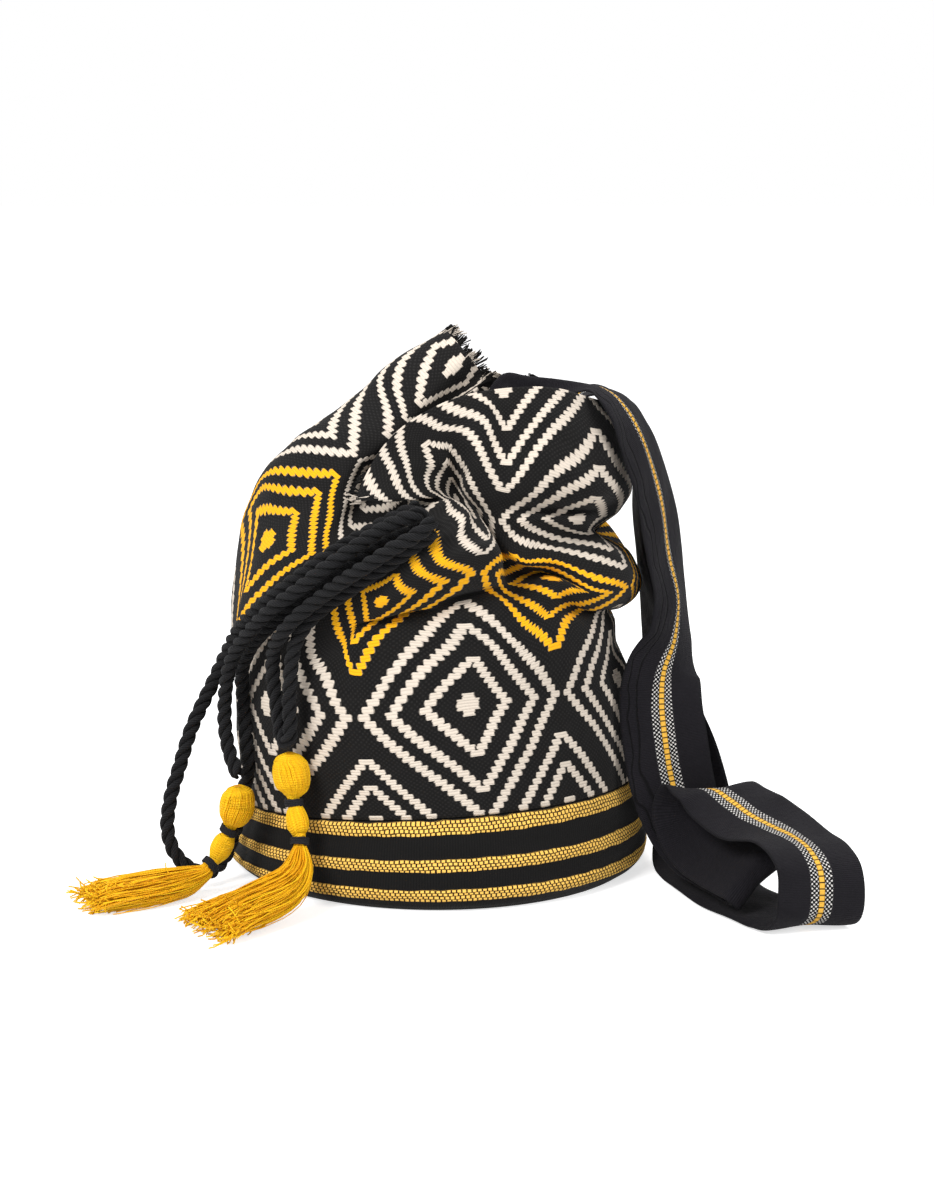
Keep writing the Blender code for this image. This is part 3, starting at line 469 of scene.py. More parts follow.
def add_tube(store, line, radius, tone, sides):
    """Adds one thread to the store of points, faces and UVs: a thin tube along the line."""
    ahead = unit(np.gradient(line, axis=0))
    across = unit(np.cross(ahead, (0.31, 0.27, 0.91)))
    up = np.cross(across, ahead)
    turns = np.arange(sides) * 2 * math.pi / sides
    radius = np.broadcast_to(radius, (len(line),))
    ring = (line[:, None] + (across[:, None] * np.cos(turns)[:, None] + up[:, None] * np.sin(turns)[:, None])
            * radius[:, None, None])
    points, faces, uvs = store
    faces += tube_faces(len(line), sides, len(points))
    points += list(ring.reshape(-1, 3))
    uvs += [(run, tone) for run in along(line) for _ in range(sides)]


def add_threads(name, store, material):
    """The piece made of all the threads in the store."""
    points, faces, uvs = store
    return add_piece(name, points, faces, [material], [uvs[q] for face in faces for q in face])


TUFT_THREADS = 16
TUFT_RADIUS = 0.00036
draw = np.random.default_rng(4)
ends = [], [], []
for number, column in enumerate(np.concatenate([np.arange(3.5, 6.1, 0.13), np.arange(-6.2, -2.2, 0.13),
                                                  np.arange(-1.2, -0.6, 0.13)])):
    at = int(np.searchsorted(body_columns, column))
    up = unit(outer[at, -1] - outer[at, -7])
    aside = unit(outer[at + 1, -1] - outer[at - 1, -1])
    root = outer[at, -1] - outward[at, -1] * CLOTH_THICKNESS / 2 - up * 0.0025
    tone = 1.0 if number % 4 == 1 else 0.0
    reach_out, lean = draw.uniform(0.006, 0.0105), draw.normal(0.15, 0.3)
    for _ in range(TUFT_THREADS):
        spread = draw.uniform(-1, 1)
        t = np.linspace(0, 1, 6)[:, None]
        line = root + aside * spread * 0.0021 + outward[at, -1] * draw.normal(0, 0.0004)
        line = line + (up + aside * (lean + 0.25 * spread)) * reach_out * draw.uniform(0.75, 1.1) * t
        add_tube(ends, line + draw.normal(0, 0.0007, 3) * t ** 2, TUFT_RADIUS, tone, 4)
fringe = add_threads("mouth_fringe_threads", ends, fringe_material())
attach(fringe, "root")
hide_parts("bag_body")

# Foot. A band of thicker black cloth, sewn to the tube at its top and to the round floor below,
# with three ribbed stripes woven in yellow and black.
FOOT_RADIUS = 0.130
FOOT_INSIDE = 0.1195
FOOT_STRIPES = ((0.13, 0.26), (0.45, 0.58), (0.83, 0.98))
FOOT_SHAPE = ((0, 0.06, 0.12, 0.2, 0.45, 0.75, 1.0),
              (0.122, 0.1268, 0.1294, FOOT_RADIUS, 0.1291, 0.1256, 0.1214))


def band_material():
    made, start, shader = new_material("band_weave", 0.86, 0.03)
    around, part = cloth_place(start)
    bend = start.noise(22.0, 1.0)
    level = part + (bend - 0.5) * 0.035
    fibre = start.noise(1400.0, 2.0)
    stripe, row = None, None
    for low, high in FOOT_STRIPES:
        here = (level - low).rise(-0.006, 0.006) * (high - level).rise(-0.006, 0.006)
        rows = (level - low) * (4.0 / (high - low))
        stripe = here if stripe is None else stripe.most(here)
        row = rows * here if row is None else row + rows * here
    line = row.floor()
    turn = (around * 327.0 + line * 0.36) % 1.0
    tick = (0.36 - abs(turn - 0.5)).rise(-0.06, 0.06)
    between = (0.41 - abs(row % 1.0 - 0.5)).rise(-0.07, 0.07)
    gold = tick * between
    rib = abs((around * 1900.0).sine())
    ground = (rib * 0.5 + fibre * 0.6).blend(tuple(0.15 * c for c in BLACK), tuple(1.2 * c for c in BLACK))
    yellow = (fibre * 1.2 - 0.1).blend((0.88, 0.44, 0.035), (1.0, 0.70, 0.20))
    base = stripe.blend(ground, gold.blend((0.020, 0.006, 0.002), yellow))
    relief = stripe * (0.3 + 0.7 * gold) + rib * 0.1 * (1.0 - stripe) + fibre * 0.1
    finish_surface(start, shader, base, relief, 0.0008)
    return made


band_steps = 360
band_parts = np.concatenate([[0.0, 0.02, 0.04, 0.06], np.linspace(0.08, 1.0, 62)])
angles = np.arange(band_steps) * 2 * math.pi / band_steps
rings = []
for a in angles:
    top = seam_height(a)
    puff = 0.0007 * np.sin(band_parts * 19 + 1.2 * np.sin(3 * a)) * np.sin(7 * a + 1.7 * band_parts)
    puff = puff * np.clip(band_parts / 0.1, 0, 1) * np.clip((1.0 - band_parts) / 0.06, 0, 1)
    lift = np.zeros(len(band_parts))
    for low, high in FOOT_STRIPES:
        edge = np.clip(np.minimum(band_parts - low, high - band_parts) / 0.02, 0, 1)
        lift = np.maximum(lift, 0.0008 * edge)
    radius = np.interp(band_parts, *FOOT_SHAPE) + puff + lift
    sink = 0.0012 * np.clip((band_parts - 0.97) / 0.03, 0, 1)
    out = [(r * math.sin(a), -r * math.cos(a), p * top) for r, p in zip(radius - sink, band_parts)]
    low_in = [(FOOT_INSIDE * math.sin(a), -FOOT_INSIDE * math.cos(a), z) for z in (top, 0.5 * top, 0.003)]
    rings.append(out + low_in)
count = len(rings[0])
vertices = np.array(rings).reshape(-1, 3)
spots = list(band_parts) + [1.0, 0.5, 0.0]
faces, uvs = [], []
for i in range(band_steps):
    after = (i + 1) % band_steps
    for j in range(count):
        k = (j + 1) % count
        faces.append([i * count + j, after * count + j, after * count + k, i * count + k])
        here, there = angles[i] * FOOT_RADIUS, (angles[i] + 2 * math.pi / band_steps) * FOOT_RADIUS
        uvs += [(here, spots[j]), (there, spots[j]), (there, spots[k]), (here, spots[k])]
band = add_piece("base_band_cloth", vertices, faces, [band_material()], uvs)
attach(band, "root")
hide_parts("base_band")

# Floor of the bag. A flat round of the same black cotton cloth, cut to the inside of the foot and
# sewn in all round at the bottom of it.
FLOOR_RADIUS = 0.1197
FLOOR_TOP = 0.0031


def floor_material():
    made, start, shader = new_material("floor_weave", 0.9)
    place = start.make("ShaderNodeTexCoord", {}, {}, 3)
    rib = abs((start.make("ShaderNodeSeparateXYZ", {}, {0: place}) * 2400.0).sine())
    fibre = start.noise(900.0, 2.0)
    base = (rib * 0.5 + fibre * 0.6).blend(tuple(0.5 * c for c in BLACK), tuple(1.6 * c for c in BLACK))
    finish_surface(start, shader, base, rib * 0.5 + fibre, 0.0004)
    return made


disc_steps, disc_rings = 96, 8
circle = [(math.sin(a), -math.cos(a)) for a in np.arange(disc_steps) * 2 * math.pi / disc_steps]
vertices = [(0, 0, FLOOR_TOP)]
for ring in range(1, disc_rings + 1):
    radius = FLOOR_RADIUS * ring / disc_rings
    vertices += [(radius * x, radius * y, FLOOR_TOP + 0.0002 * math.sin(ring * 1.3)) for x, y in circle]
top_count = len(vertices)
vertices += [(0, 0, 0.0)] + [(FLOOR_RADIUS * x, FLOOR_RADIUS * y, 0.0) for x, y in circle]
faces = []
for i in range(disc_steps):
    after = (i + 1) % disc_steps
    faces.append([0, 1 + i, 1 + after])
    for ring in range(disc_rings - 1):
        low, high = 1 + ring * disc_steps, 1 + (ring + 1) * disc_steps
        faces.append([low + i, high + i, high + after, low + after])
    last = 1 + (disc_rings - 1) * disc_steps
    faces.append([last + i, top_count + 1 + i, top_count + 1 + after, last + after])
    faces.append([top_count, top_count + 1 + after, top_count + 1 + i])
disc = add_piece("base_disc_cloth", vertices, faces, [floor_material()])
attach(disc, "root")
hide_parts("base_disc")

# Shoulder strap. One long flat band of charcoal cotton, ribbed across, with a black and white
# stripe down its middle and a line of yellow dashes in that. It comes out of the mouth, hangs
# folded over the right side, and lies rolled on the ground.
STRAP_HALF_WIDTH = 0.026
STRAP_THICKNESS = 0.0019
STRIPE_START = 0.105
DASH_PITCH = 0.0034
# Middle of the strap (mm), and the way that its left and right halves point there (degrees)
STRAP_STATIONS = [
    (31, -48, 262, -90, 90), (30.5, -48, 284, -90, 90), (33, -47, 299, -90, 90),
    (41, -45, 306.6, -90, 90), (52, -41.5, 305.2, -90, 90), (66, -38, 303.5, -90, 90),
    (80, -38.5, 301.5, -90, 90), (90, -39, 300, -84, 88), (98, -40.5, 298.5, -76, 84),
    (105, -43, 295, -68, 80), (112, -45, 287, -62, 76), (120, -45, 272, -56, 74),
    (128.5, -43, 250, -56, 72), (135, -41, 224, -56, 70), (140, -40, 194, -58, 68),
    (145, -41, 168, -52, 76), (143, -44, 148, -46, 60), (136.5, -49, 128, -28, 28),
    (135.5, -53, 109, -8, 16), (138, -56, 85, -4, 6), (142, -57, 62, -10, 8), (147, -58, 44, -18, 16),
    (154, -62, 30, -24, 24), (163, -71, 21, -28, 28), (174, -89, 18.5, -29, 29),
    (184, -109, 18.5, -29, 29), (190.5, -124, 19.5, -29, 29), (192, -133, 24, -29, 29),
    (186, -133.5, 29, -29, 29), (178, -119, 30, -29, 29), (170, -102, 30.5, -30, 30),
    (163, -87, 32, -28, 28), (157.5, -75, 38, -24, 24), (155, -68.5, 47, -17, 17),
    (158.5, -69, 57, -10, 10), (165, -78, 61, -9, 9), (175, -92, 57.5, -24, 24),
    (184, -106, 53.5, -30, 30), (196, -122, 51, -32, 32), (207, -141, 49, -30, 30),
    (214, -155, 46, -24, 24), (219, -166, 38, -17, 17), (220, -171, 24, -12, 12),
    (218.5, -169.5, 11, -12, 12), (213, -162, 4, -15, 15), (204, -149, 2, -21, 21),
    (195, -135, 2, -27, 27), (178, -104, 2, -27, 27), (166, -70, 2, -20, 20), (159, -38, 2, -10, 10),
    (159, -24, 5, -1, 1), (160, -16, 15, 3, -3), (158, -12, 28, 9, -9), (156, -9, 42, 18, -18),
    (153, -6, 60, 30, -30), (149, -3, 80, 43, -43), (144, 0, 102, 56, -56), (138, 2, 125, 68, -68),
    (133, 4, 146, 77, -77), (129.5, 5, 168, 84, -84), (126, 7, 190, 86, -86), (123.5, 9, 214, 87, -87),
    (121.5, 10, 240, 90, -90), (119.5, 11, 262, 90, -90), (114, 12, 279, 90, -90),
    (105, 11, 289, 90, -90), (95, 10, 291.5, 90, -90), (86, 10, 288, 90, -90), (80, 9, 276, 90, -90),
    (78, 8, 260, 90, -90),
]
# Number of a station of the strap, how far its left and right halves hang down there (degrees),
# and the share of the width that is left where the band is folded together
STRAP_FOLDS = [
    (0, 70, 40, 0.42), (5, 66, 40, 0.42), (6, 40, 32, 0.42), (7, 8, 16, 0.5), (8, 4, 8, 0.72),
    (9, 2, 4, 0.95), (10, 0, 0, 1), (21, 0, 0, 1), (22, 8, -8, 1), (23, 16, -16, 1), (25, 22, -22, 1),
    (27, 34, -34, 1), (28, 40, -40, 1), (30, 40, -40, 1), (31, 36, -36, 1), (32, 26, -26, 1),
    (33, 14, -14, 1), (34, 4, -4, 1), (35, 6, 0, 1), (36, 20, -8, 1), (37, 20, -16, 1), (38, 10, -10, 1),
    (39, 0, 0, 1), (70, 0, 0, 1),
]


def strap_material(name, striped):
    made, start, shader = new_material(name, 0.86, 0.015)
    across, along_strap = cloth_place(start)
    side = abs(across)
    fibre = start.noise(1300.0, 2.0)
    patch = start.noise(28.0, 3.0)
    rib = abs((along_strap * (math.pi / 0.00095)).sine())
    base = (rib * 0.55 + fibre * 0.55).blend((0.0022, 0.0020, 0.0026), (0.0125, 0.0113, 0.0145))
    base = (patch.rise(0.35, 0.75) * 0.25).blend(base, (0.013, 0.0118, 0.015))
    relief = rib * 0.45 + fibre * 0.2 + start.noise(75.0, 2.0) * 1.6
    if striped:
        cell = (across * (math.pi / 0.0013)).sine() * (along_strap * (math.pi / 0.00125)).sine()
        speck = (cell + (start.noise(480.0, 1.0) - 0.5) * 1.7).rise(0.24, 0.36)
        tweed = speck.blend((0.004, 0.004, 0.005), (0.72, 0.70, 0.67))
        half = (along_strap - 0.25).rise(0.0, 0.07) * 0.0034 + 0.0032
        stripe = (half - side).rise(-0.0003, 0.0003)
        length = abs((along_strap / DASH_PITCH) % 1.0 - 0.5)
        dash = (0.0015 - side).rise(-0.0003, 0.0003) * (0.40 - length).rise(-0.07, 0.07)
        base = stripe.blend(base, tweed)
        base = (0.0019 - side).rise(-0.0002, 0.0002).blend(base, (0.035, 0.018, 0.008))
        base = dash.blend(base, (fibre * 0.9).blend((0.98, 0.60, 0.10), (0.76, 0.36, 0.03)))
        # Two lengthwise creases to one side of the stripe, fading out between half a metre and 0.6 m along
        # the strap: they sink the relief, and their darkening of the colour is painted shade in the folds.
        bend = (start.noise(11.0, 1.0) - 0.5) * 0.012
        crease_and_its_shade = (0.0011 - abs(across + bend + 0.0155)).rise(0.0, 0.0011)
        crease_and_its_shade = crease_and_its_shade.most((0.0009 - abs(across + bend * 1.5 + 0.0215)).rise(0.0, 0.0009))
        crease_and_its_shade = crease_and_its_shade * (0.60 - along_strap).rise(0.0, 0.12)
        base = (crease_and_its_shade * 0.8).blend(base, (0.0012, 0.0011, 0.0014))
        relief = relief + stripe * speck * 0.25 + dash * 0.7 - crease_and_its_shade * 2.0
    edge = (side - 0.0247).rise(0.0, 0.0008)
    base = (edge * 0.5).blend(base, (0.005, 0.005, 0.006))
    finish_surface(start, shader, base, relief, 0.0006)
    return made


def band_side(across, back, drop, forward):
    """Direction from the strap's middle line to one edge, square to the way it runs."""
    side = np.array([across * math.cos(drop), back * math.cos(drop), -math.sin(drop)])
    return unit(side - forward * side.dot(forward))


stations = np.array(STRAP_STATIONS, float)
folds = np.array(STRAP_FOLDS, float)
numbers = np.arange(len(stations))
drops = np.column_stack([np.interp(numbers, folds[:, 0], folds[:, i]) for i in (1, 2)])
width_share = np.interp(numbers, folds[:, 0], folds[:, 3])
middle = stations[:, :3] * MM
reach = along(middle)
count = 700
at = np.linspace(0, reach[-1], count)
values = np.column_stack([middle, np.radians(stations[:, 3:]), np.radians(drops), width_share])
smooth = through(reach, values, at)
middle = smooth[:, :3]
middle[:, 2] = np.maximum(middle[:, 2], 0.0016)
ahead = unit(np.gradient(middle, axis=0))
shares = np.linspace(-1, 1, 27)
fold_round = 0.16
rings = []
for place, forward, lie, run in zip(middle, ahead, smooth[:, 3:], at):
    left_turn, right_turn, left_drop, right_drop, width_left = lie
    left = band_side(-math.cos(left_turn), math.sin(left_turn), left_drop, forward)
    right = band_side(math.cos(right_turn), math.sin(right_turn), right_drop, forward)
    half_width = STRAP_HALF_WIDTH * width_left
    faces_out = np.array([np.cross(forward, left), -np.cross(forward, right)])
    top_row, low_row = [], []
    for share in shares:
        to_left = (-share + math.hypot(share, fold_round)) / 2
        to_right = (share + math.hypot(share, fold_round)) / 2
        spot = place + (left * to_left + right * to_right) * half_width
        spot = spot - (left + right) * half_width * fold_round / 2
        out = unit(faces_out[0] * to_left + faces_out[1] * to_right)
        wave = 0.0006 * math.sin(run * 95 + 2.1 * share) * math.sin(run * 37 + 3 * share)
        half = STRAP_THICKNESS / 2 * (1 - 0.55 * abs(share) ** 12)
        top_row.append(spot + out * (half + wave))
        low_row.append(spot + out * (wave - half))
    ring = np.array(top_row + low_row[::-1])
    ring[:, 2] = np.maximum(ring[:, 2], 0.0003)
    rings.append(ring)
vertices = np.array(rings).reshape(-1, 3)
sides = 2 * len(shares)
spots = list(shares * STRAP_HALF_WIDTH) + list(shares[::-1] * STRAP_HALF_WIDTH)
faces = tube_faces(count, sides)
uvs = [(spots[q % sides], at[q // sides]) for face in faces for q in face]
plain = [j < len(shares) or run < STRIPE_START for run in at[:-1] for j in range(sides)] + [True, True]
strap_faces = [strap_material("strap_striped", True), strap_material("strap_plain", False)]
strap = add_piece("shoulder_strap_band", vertices, faces, strap_faces, uvs, face_materials=plain)
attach(strap, "root")
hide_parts("shoulder_strap")

# Tassels. Each is a bundle of yellow silky yarn that is tied round the cord, folded down over the
# knot and bound twice, which makes a large ball, a small ball and a loose skirt.
YARN_RADIUS = 0.00038
SKIRT_THREADS = 430
HEM_THREADS = 240
# Middle of the bundle from its top to the skirt's end, half its width and half its height (mm)
FRONT_TASSEL = [
    (-86, -107, 91, 3, 3), (-86, -107, 89, 7, 7), (-86, -107, 85, 10, 10), (-85, -108, 78, 11, 11),
    (-84, -109, 71, 9.5, 9.5), (-84, -110, 67, 5.5, 5.5), (-84, -110.5, 65, 3.6, 3.6),
    (-83.5, -111, 60, 3.6, 3.6), (-83, -112, 58.5, 5, 5), (-82, -114, 54, 6.5, 6.5),
    (-81, -116, 49, 6.5, 6.5), (-80.5, -117, 45.5, 4.5, 4.5), (-80, -118, 43.5, 3.4, 3.4),
    (-80, -119.5, 38.5, 3.4, 3.4), (-80, -122, 35, 5, 4.5), (-80.5, -129, 29, 8, 6),
    (-83, -136, 23.5, 10.5, 7), (-89, -143, 18.5, 14, 7.5), (-98, -149, 14.5, 18, 7.5),
    (-108, -154, 11, 22, 7), (-117, -159.5, 8.5, 26, 6), (-125, -164.5, 6.5, 29, 4.5),
    (-130, -168, 5, 30, 2.8),
]
LEFT_TASSEL = [
    (-118, -89, 66.5, 3, 3), (-118, -89, 64.5, 7, 7), (-118, -89, 61, 9.5, 9.5),
    (-119, -89, 54, 10.5, 10.5), (-121, -88.5, 47.5, 9, 9), (-122.5, -88, 43.5, 5.5, 5.5),
    (-123, -88, 41.5, 3.6, 3.6), (-125, -87.5, 37, 3.6, 3.6), (-125.5, -87.5, 35, 5, 5),
    (-127.5, -87.5, 31, 6.5, 6.5), (-130, -88, 26, 6.3, 6.3), (-132, -89, 22.5, 4.5, 4.5),
    (-133.5, -90, 20.5, 3.4, 3.4), (-137, -92, 17, 3.4, 3.4), (-140, -94, 14, 5, 4.5),
    (-150, -99, 11, 9, 7), (-164, -106, 10, 13, 8), (-180, -113, 9, 16, 8), (-194, -119, 8, 18, 7),
    (-205, -124, 6.5, 18.5, 4.5),
]


def yarn_material():
    made, start, shader = new_material("tassel_yarn", 0.5, 0.0, 0.2)
    run, tone = cloth_place(start)
    fibre = start.noise(900.0, 2.0)
    # Each thread's tone sets how deep its yellow is; besides random tone it carries the painted shade given
    # to the balls' cores and to the skirt's inner threads.
    base = (tone * 0.8 + fibre * 0.3).blend((0.76, 0.30, 0.0012), (1.0, 0.62, 0.010))
    twist = (run * 4200.0).sine()
    finish_surface(start, shader, base, twist * 0.5 + fibre * 0.4, 0.0003)
    return made


def stations_at(stations, places):
    """The tassel's section at the given station numbers: point, across, up, half width, half height."""
    table = np.array(stations, float) * MM
    order, knots = np.arange(len(table)), np.linspace(0, len(table) - 1, 400)
    smooth = through(order, table, places)
    ahead = np.gradient(through(order, table[:, :3], knots), axis=0)
    ahead = unit(np.stack([np.interp(places, knots, ahead[:, i]) for i in range(3)], 1))
    lying = np.clip((0.030 - smooth[:, 2]) / 0.022, 0, 1)
    across = unit(np.cross(ahead, np.stack([0 * lying, 0.8 * (lying - 1), 0.6 + 0.4 * lying], axis=1)))
    return smooth[:, :3], across, np.cross(across, ahead), smooth[:, 3], smooth[:, 4]


def tassel(name, stations, node, seed, fullness):
    """Threads over the two balls, and the loose ones of the skirt."""
    draw = np.random.default_rng(seed)
    store = [], [], []
    for first, last, threads in ((0.0, 6.2, 92), (6.8, 12.2, 64)):
        places = np.linspace(first, last, 22)
        point, across, up, wide, tall = stations_at(stations, places)
        # A solid core inside each ball, given a tone below every thread's: its darker yellow, seen between
        # the threads, is painted shade.
        add_tube(store, point, np.minimum(wide, tall) * 0.92, -0.15, 20)
        for shrink, number in ((0.965, threads), (1.0, threads)):
            for i in range(number):
                a = 2 * math.pi * (i + draw.uniform(-0.3, 0.3)) / number
                turn = a + draw.normal(0, 0.03)
                turn = turn + 0.22 * np.linspace(-1, 1, len(places)) * draw.normal(1, 0.25)
                lift = (shrink + draw.normal(0, 0.012)) - YARN_RADIUS / np.maximum(wide, 0.002)
                line = (point + across * (np.cos(turn) * wide * lift)[:, None]
                        + up * (np.sin(turn) * tall * lift)[:, None])
                add_tube(store, line, YARN_RADIUS * draw.uniform(0.95, 1.2), draw.uniform(0.45, 1.0), 4)
    end = len(stations) - 1
    for _ in range(SKIRT_THREADS):
        rim = math.sqrt(draw.uniform(0.02, 1.0))
        a = draw.uniform(0, 2 * math.pi)
        stop = end - abs(draw.normal(0, 1.0)) * 0.9
        stray = draw.uniform() < 0.05
        places = np.linspace(12.6, stop, 20)
        point, across, up, wide, tall = stations_at(stations, places)
        t = np.linspace(0, 1, len(places))
        turn = a + draw.normal(0, 0.35) * t + draw.normal(0, 0.12) * np.sin(7 * t + draw.uniform(0, 6))
        spread = rim * (0.97 + draw.normal(0, 0.04)) * (1 + (0.35 * t ** 2 if stray else 0))
        spread = spread * (1 + fullness * np.sin(math.pi * np.sqrt(t)))
        line = (point + across * (np.cos(turn) * wide * spread)[:, None]
                + up * (np.sin(turn) * tall * spread)[:, None])
        line += np.cumsum(draw.normal(0, 0.00024, line.shape), axis=0) * t[:, None]
        line[:, 2] = np.maximum(line[:, 2], 0.0006 + 0.0002 * draw.uniform(0, 4))
        # Each skirt thread has a random tone, scaled down the nearer it lies to the middle of the bundle:
        # that darkening is painted shade inside the skirt.
        radius, light = YARN_RADIUS * draw.uniform(0.8, 1.1), draw.uniform(0.0, 1.0) * (0.45 + 0.55 * rim)
        add_tube(store, line, radius, light, 4)
    for _ in range(HEM_THREADS):
        place = end - abs(draw.normal(0, 1.3)) - 0.1
        point, across, up, wide, tall = stations_at(stations, [place - 0.2, place])
        a, rim = draw.uniform(0, 2 * math.pi), math.sqrt(draw.uniform(0.2, 1.0))
        foot = point[1] + across[1] * math.cos(a) * wide[1] * rim + up[1] * math.sin(a) * tall[1] * rim
        way = unit(point[1] - point[0]) + draw.normal(0, 0.55, 3)
        t = np.linspace(0, 1, 6)[:, None]
        line = foot + (way * t + draw.normal(0, 0.4, 3) * t ** 2) * draw.uniform(0.003, 0.007)
        line[:, 2] = np.clip(line[:, 2], 0.0006, None)
        add_tube(store, line, YARN_RADIUS * 1.15, draw.uniform(0.2, 1.0), 4)
    made = add_threads(name, store, yarn)
    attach(made, "root")
    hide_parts(node)
    return made


yarn = yarn_material()
front_tassel = tassel("tassel_front_yarn", FRONT_TASSEL, "tassel_front", 11, 0.1)
left_tassel = tassel("tassel_left_yarn", LEFT_TASSEL, "tassel_left", 23, 0.25)

# Ties. Waxed black thread, four turns in two layers, wound tightly round each of the two necks of
# a tassel and knotted there, which binds its yarn into balls.
TIE_RADIUS = 0.00065
NECK_RADIUS = 0.004


def thread_material():
    made, start, shader = new_material("tie_thread", 0.75)
    run, tone = cloth_place(start)
    fibre = start.noise(1200.0, 2.0)
    base = fibre.blend((0.006, 0.006, 0.007), (0.03, 0.03, 0.034))
    finish_surface(start, shader, base, (run * 5000.0).sine() * 0.5 + fibre * 0.4, 0.0003)
    return made


def tie(name, stations, first, node, seed):
    """A few turns of thread round the neck that starts at this station."""
    draw = np.random.default_rng(seed)
    store = [], [], []
    turns, steps = 4.0, 90
    t = np.linspace(0, 1, steps)
    for layer in range(2):
        places = first + 0.12 + 0.76 * (t if layer == 0 else 1 - t)
        point, across, up = stations_at(stations, places)[:3]
        radius = NECK_RADIUS + TIE_RADIUS * (0.9 + 0.8 * layer) + draw.normal(0, 0.00004, steps)
        a = 2 * math.pi * (turns * t + 0.35 * layer)
        line = point + across * (np.cos(a) * radius)[:, None] + up * (np.sin(a) * radius)[:, None]
        add_tube(store, line, TIE_RADIUS, 0.5, 6)
    made = add_threads(name, store, tie_thread)
    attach(made, "root")
    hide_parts(node)
    return made


tie_thread = thread_material()
for side, stations, seed in (("front", FRONT_TASSEL, 5), ("left", LEFT_TASSEL, 8)):
    for level, first in (("upper", 6), ("lower", 12)):
        node = f"tassel_{side}_{level}_tie"
        tie(node + "_thread", stations, first, node, seed + first)

# Drawcord. Black cotton rope of three strands, twisted. Its two tails come out of the gathered
# cloth at the front, each folded in bights, and a tassel is tied on each.
STRAND_RADIUS = 0.00222
STRAND_OFFSET = 0.00235
TWIST_PITCH = 0.0245
# Middle of the cord from the gather to its end (mm)
LEFT_CORD_ROUTE = [
    (-9, -111, 239), (-28, -107, 229), (-43, -104, 220), (-58, -107, 212), (-74, -103, 200), (-91, -95, 186),
    (-106, -82, 172), (-119, -62, 155), (-128, -50, 137), (-136, -48, 120), (-142, -52, 108),
    (-148, -58, 95), (-155, -65, 73), (-161, -72, 51), (-162, -76, 36), (-157, -80, 22), (-148, -80, 13),
    (-138, -74, 9), (-130, -65, 14), (-124, -60, 28), (-120, -57, 42), (-117, -58, 56), (-114, -62, 72),
    (-115, -62, 87), (-116, -58, 101), (-117, -57, 115), (-117, -62, 131), (-111, -73, 147),
    (-99, -89, 163), (-86, -101, 176), (-70, -106, 188), (-55, -113, 200), (-41, -114, 210),
    (-27, -115, 219), (-13, -119, 226), (-6, -125, 232), (-9, -131, 237), (-21, -129, 233), (-35, -126, 225),
    (-49, -125, 215), (-64, -122, 204), (-79, -116, 191), (-95, -108, 178), (-109, -95, 162),
    (-120, -82, 145), (-125, -74, 129), (-127, -69, 113), (-127, -70, 98), (-124, -76, 84), (-118, -87, 72),
]
FRONT_CORD_ROUTE = [
    (0, -132, 227), (-12, -132, 219), (-23, -131, 211), (-37, -126, 201), (-52, -117, 189), (-66, -109, 178),
    (-76, -108, 168), (-82, -107, 157), (-84.5, -107, 145), (-85.5, -107.5, 132), (-86, -108, 118),
    (-85.5, -109, 108), (-86, -109.5, 101), (-88.5, -107.5, 97.2), (-91, -103.5, 101), (-93, -99, 113),
    (-96, -94, 131), (-96, -96, 146),
    (-90, -110, 163), (-80, -116, 175), (-67, -119, 186), (-53, -128, 198), (-38, -136, 209),
    (-24, -140, 219), (-9, -141, 228), (0, -141, 236),
]


def rope_material():
    made, start, shader = new_material("twisted_rope", 0.85, 0.04)
    run, turn = cloth_place(start)
    fibre = start.noise(1100.0, 2.0)
    ply = (turn * (2 * math.pi * 7) + run * 2600.0).sine() * 0.5 + 0.5
    # The side of each strand that faces the other two is darkened almost to black: painted shade in the
    # grooves between the strands.
    clear_of_groove_shade = (turn * (2 * math.pi)).sine().rise(-0.35, 1.0)
    base = (ply * 0.5 + fibre * 0.6).blend((0.0022, 0.0022, 0.0025), (0.017, 0.017, 0.0185))
    base = clear_of_groove_shade.blend((0.0006, 0.0006, 0.0007), base)
    finish_surface(start, shader, base, ply * 0.8 + fibre * 0.6, 0.0005)
    return made


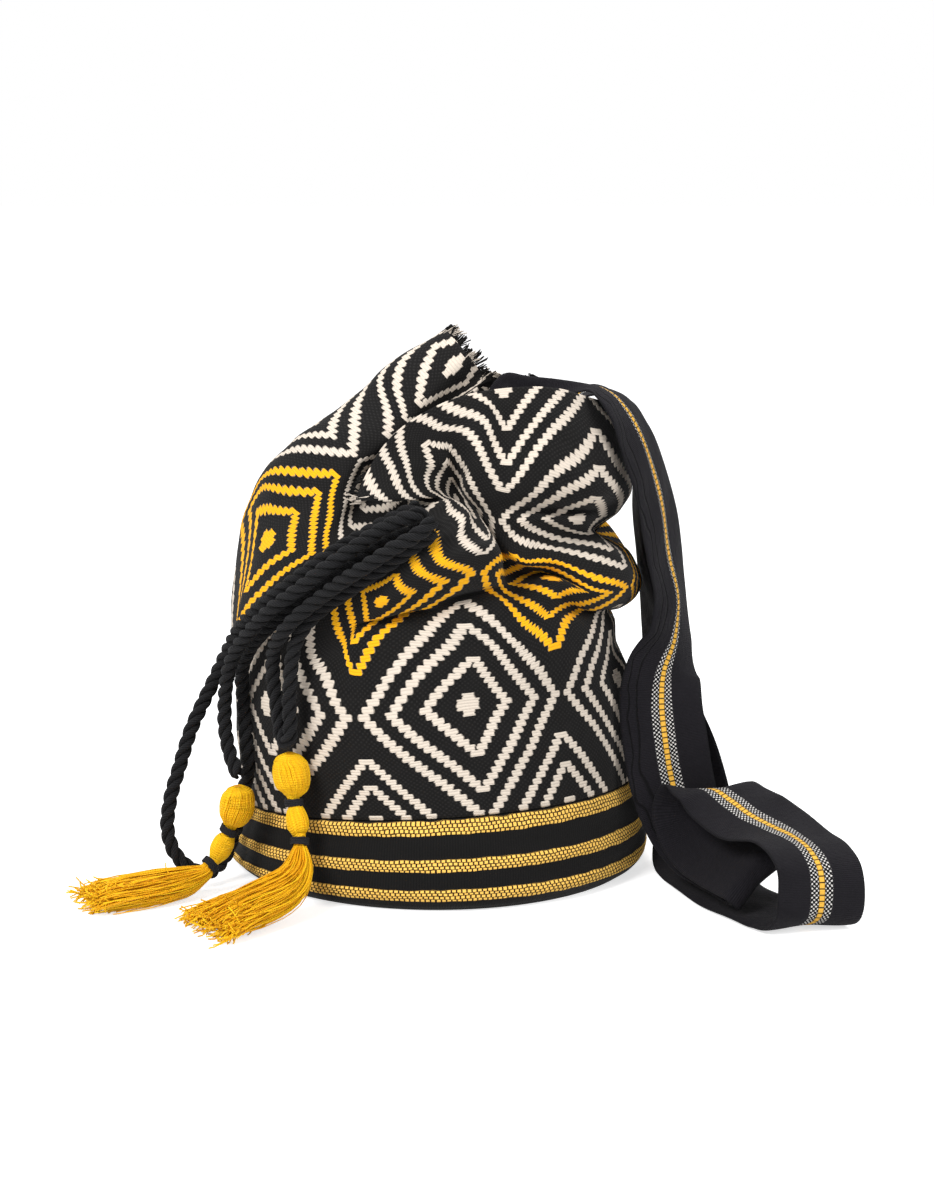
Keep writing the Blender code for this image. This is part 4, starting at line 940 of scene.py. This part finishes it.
def rope(name, route, node):
    """Three round strands twisted about the smooth line of the route."""
    points = np.array(route, float) * MM
    reach = along(points)
    line = through(reach, points, np.linspace(0, reach[-1], int(reach[-1] / 0.0013)))
    reach = along(line)
    ahead = unit(np.gradient(line, axis=0))
    across = np.empty_like(line)
    across[0] = unit(np.cross(ahead[0], (0, 0, 1.0)))
    for i in range(1, len(line)):
        across[i] = unit(across[i - 1] - ahead[i] * across[i - 1].dot(ahead[i]))
    up = np.cross(ahead, across)
    vertices, faces, uvs, sides = [], [], [], 12
    turns = np.arange(sides) * 2 * math.pi / sides
    for number in range(3):
        a = 2 * math.pi * (reach / TWIST_PITCH + number / 3)
        centre = line + (across * np.cos(a)[:, None] + up * np.sin(a)[:, None]) * STRAND_OFFSET
        way = unit(np.gradient(centre, axis=0))
        side = unit(np.cross(way, across * np.cos(a)[:, None] + up * np.sin(a)[:, None]))
        out = np.cross(side, way)
        taper = np.clip(np.minimum(reach, reach[-1] - reach) / 0.002, 0.4, 1)
        ring = side[:, None] * np.cos(turns)[:, None] + out[:, None] * np.sin(turns)[:, None]
        ring = centre[:, None] + ring * (STRAND_RADIUS * taper)[:, None, None]
        faces += tube_faces(len(line), sides, len(vertices))
        vertices += list(ring.reshape(-1, 3))
        for i in range(len(line) - 1):
            for j in range(sides):
                uvs += [(reach[i], j / sides), (reach[i], (j + 1) / sides),
                        (reach[i + 1], (j + 1) / sides), (reach[i + 1], j / sides)]
        uvs += [(reach[0], 0.5)] * sides + [(reach[-1], 0.5)] * sides
    made = add_piece(name, vertices, faces, [rope_cotton], uvs)
    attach(made, "root")
    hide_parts(node)
    [tuple(p) for p in line[::3]] + [tuple(line[-1])]
    return made


rope_cotton = rope_material()
rope("drawcord_left_rope", LEFT_CORD_ROUTE, "drawcord_left")
rope("drawcord_front_rope", FRONT_CORD_ROUTE, "drawcord_front")

# Ground, light and camera. A white studio sweep, a broad soft lamp from the upper left and a
# weaker one from the right; the camera stands a little above the bag, as in the photograph.
def ground_material():
    made, start, shader = new_material("studio_floor", 1.0, specular=0.0)
    rays = start.make("ShaderNodeLightPath", {}, {}, 0)
    node = rays.socket.node
    seen = rays + Value(start.tree, node.outputs["Is Glossy Ray"])
    seen = seen + Value(start.tree, node.outputs["Is Transmission Ray"])
    glow = seen.least(1.0).blend((0.0, 0.0, 0.0), (1.0, 1.0, 1.0))
    start.tree.links.new(glow.socket, shader.inputs["Emission Color"])
    shader.inputs["Emission Strength"].default_value = 0.66
    shader.inputs["Base Color"].default_value = (0.75, 0.75, 0.75, 1.0)
    return made


bpy.ops.mesh.primitive_plane_add(size=14.0, location=(0, 0, -0.0002))
ground = bpy.context.object
ground.name = "studio_ground"
ground.data.materials.append(ground_material())

world = bpy.data.worlds.new("studio")
bpy.context.scene.world = world
world.use_nodes = True
sky = Value(world.node_tree)
back = world.node_tree.nodes["Background"]
rays = sky.make("ShaderNodeLightPath", {}, {}, 0)
seen = rays + Value(sky.tree, rays.socket.node.outputs["Is Glossy Ray"])
tone = seen.least(1.0).blend((0.52, 0.52, 0.53), (1.0, 1.0, 1.0))
world.node_tree.links.new(tone.socket, back.inputs["Color"])
back.inputs["Strength"].default_value = 1.0


def soft_lamp(name, place, aim, size, power):
    lamp = bpy.data.lights.new(name, "AREA")
    lamp.shape = "DISK"
    lamp.size = size
    lamp.energy = power
    made = bpy.data.objects.new(name, lamp)
    bpy.context.scene.collection.objects.link(made)
    made.location = place
    way = np.array(aim, float) - np.array(place, float)
    made.rotation_euler = (math.atan2(math.hypot(way[0], way[1]), -way[2]), 0, math.atan2(-way[0], way[1]))
    return made


soft_lamp("key_lamp", (-1.3, -1.7, 1.9), (0, 0, 0.15), 1.2, 66.0)
soft_lamp("fill_lamp", (1.8, -1.2, 1.3), (0, 0, 0.15), 1.4, 22.0)
soft_lamp("top_lamp", (0.2, 0.9, 2.2), (0, 0, 0.15), 1.2, 22.0)

camera = bpy.data.cameras.new("camera")
camera.lens = 36.0 * VIEW_SCALE / 1200.0
camera.sensor_width = 36.0
eye = bpy.data.objects.new("camera", camera)
bpy.context.scene.collection.objects.link(eye)
eye.location = VIEW_TARGET - np.array([0, math.cos(VIEW_DOWN), -math.sin(VIEW_DOWN)]) * VIEW_FAR
eye.rotation_euler = (math.pi / 2 - VIEW_DOWN, 0, 0)
bpy.context.scene.camera = eye
bpy.context.scene.view_settings.view_transform = "Standard"
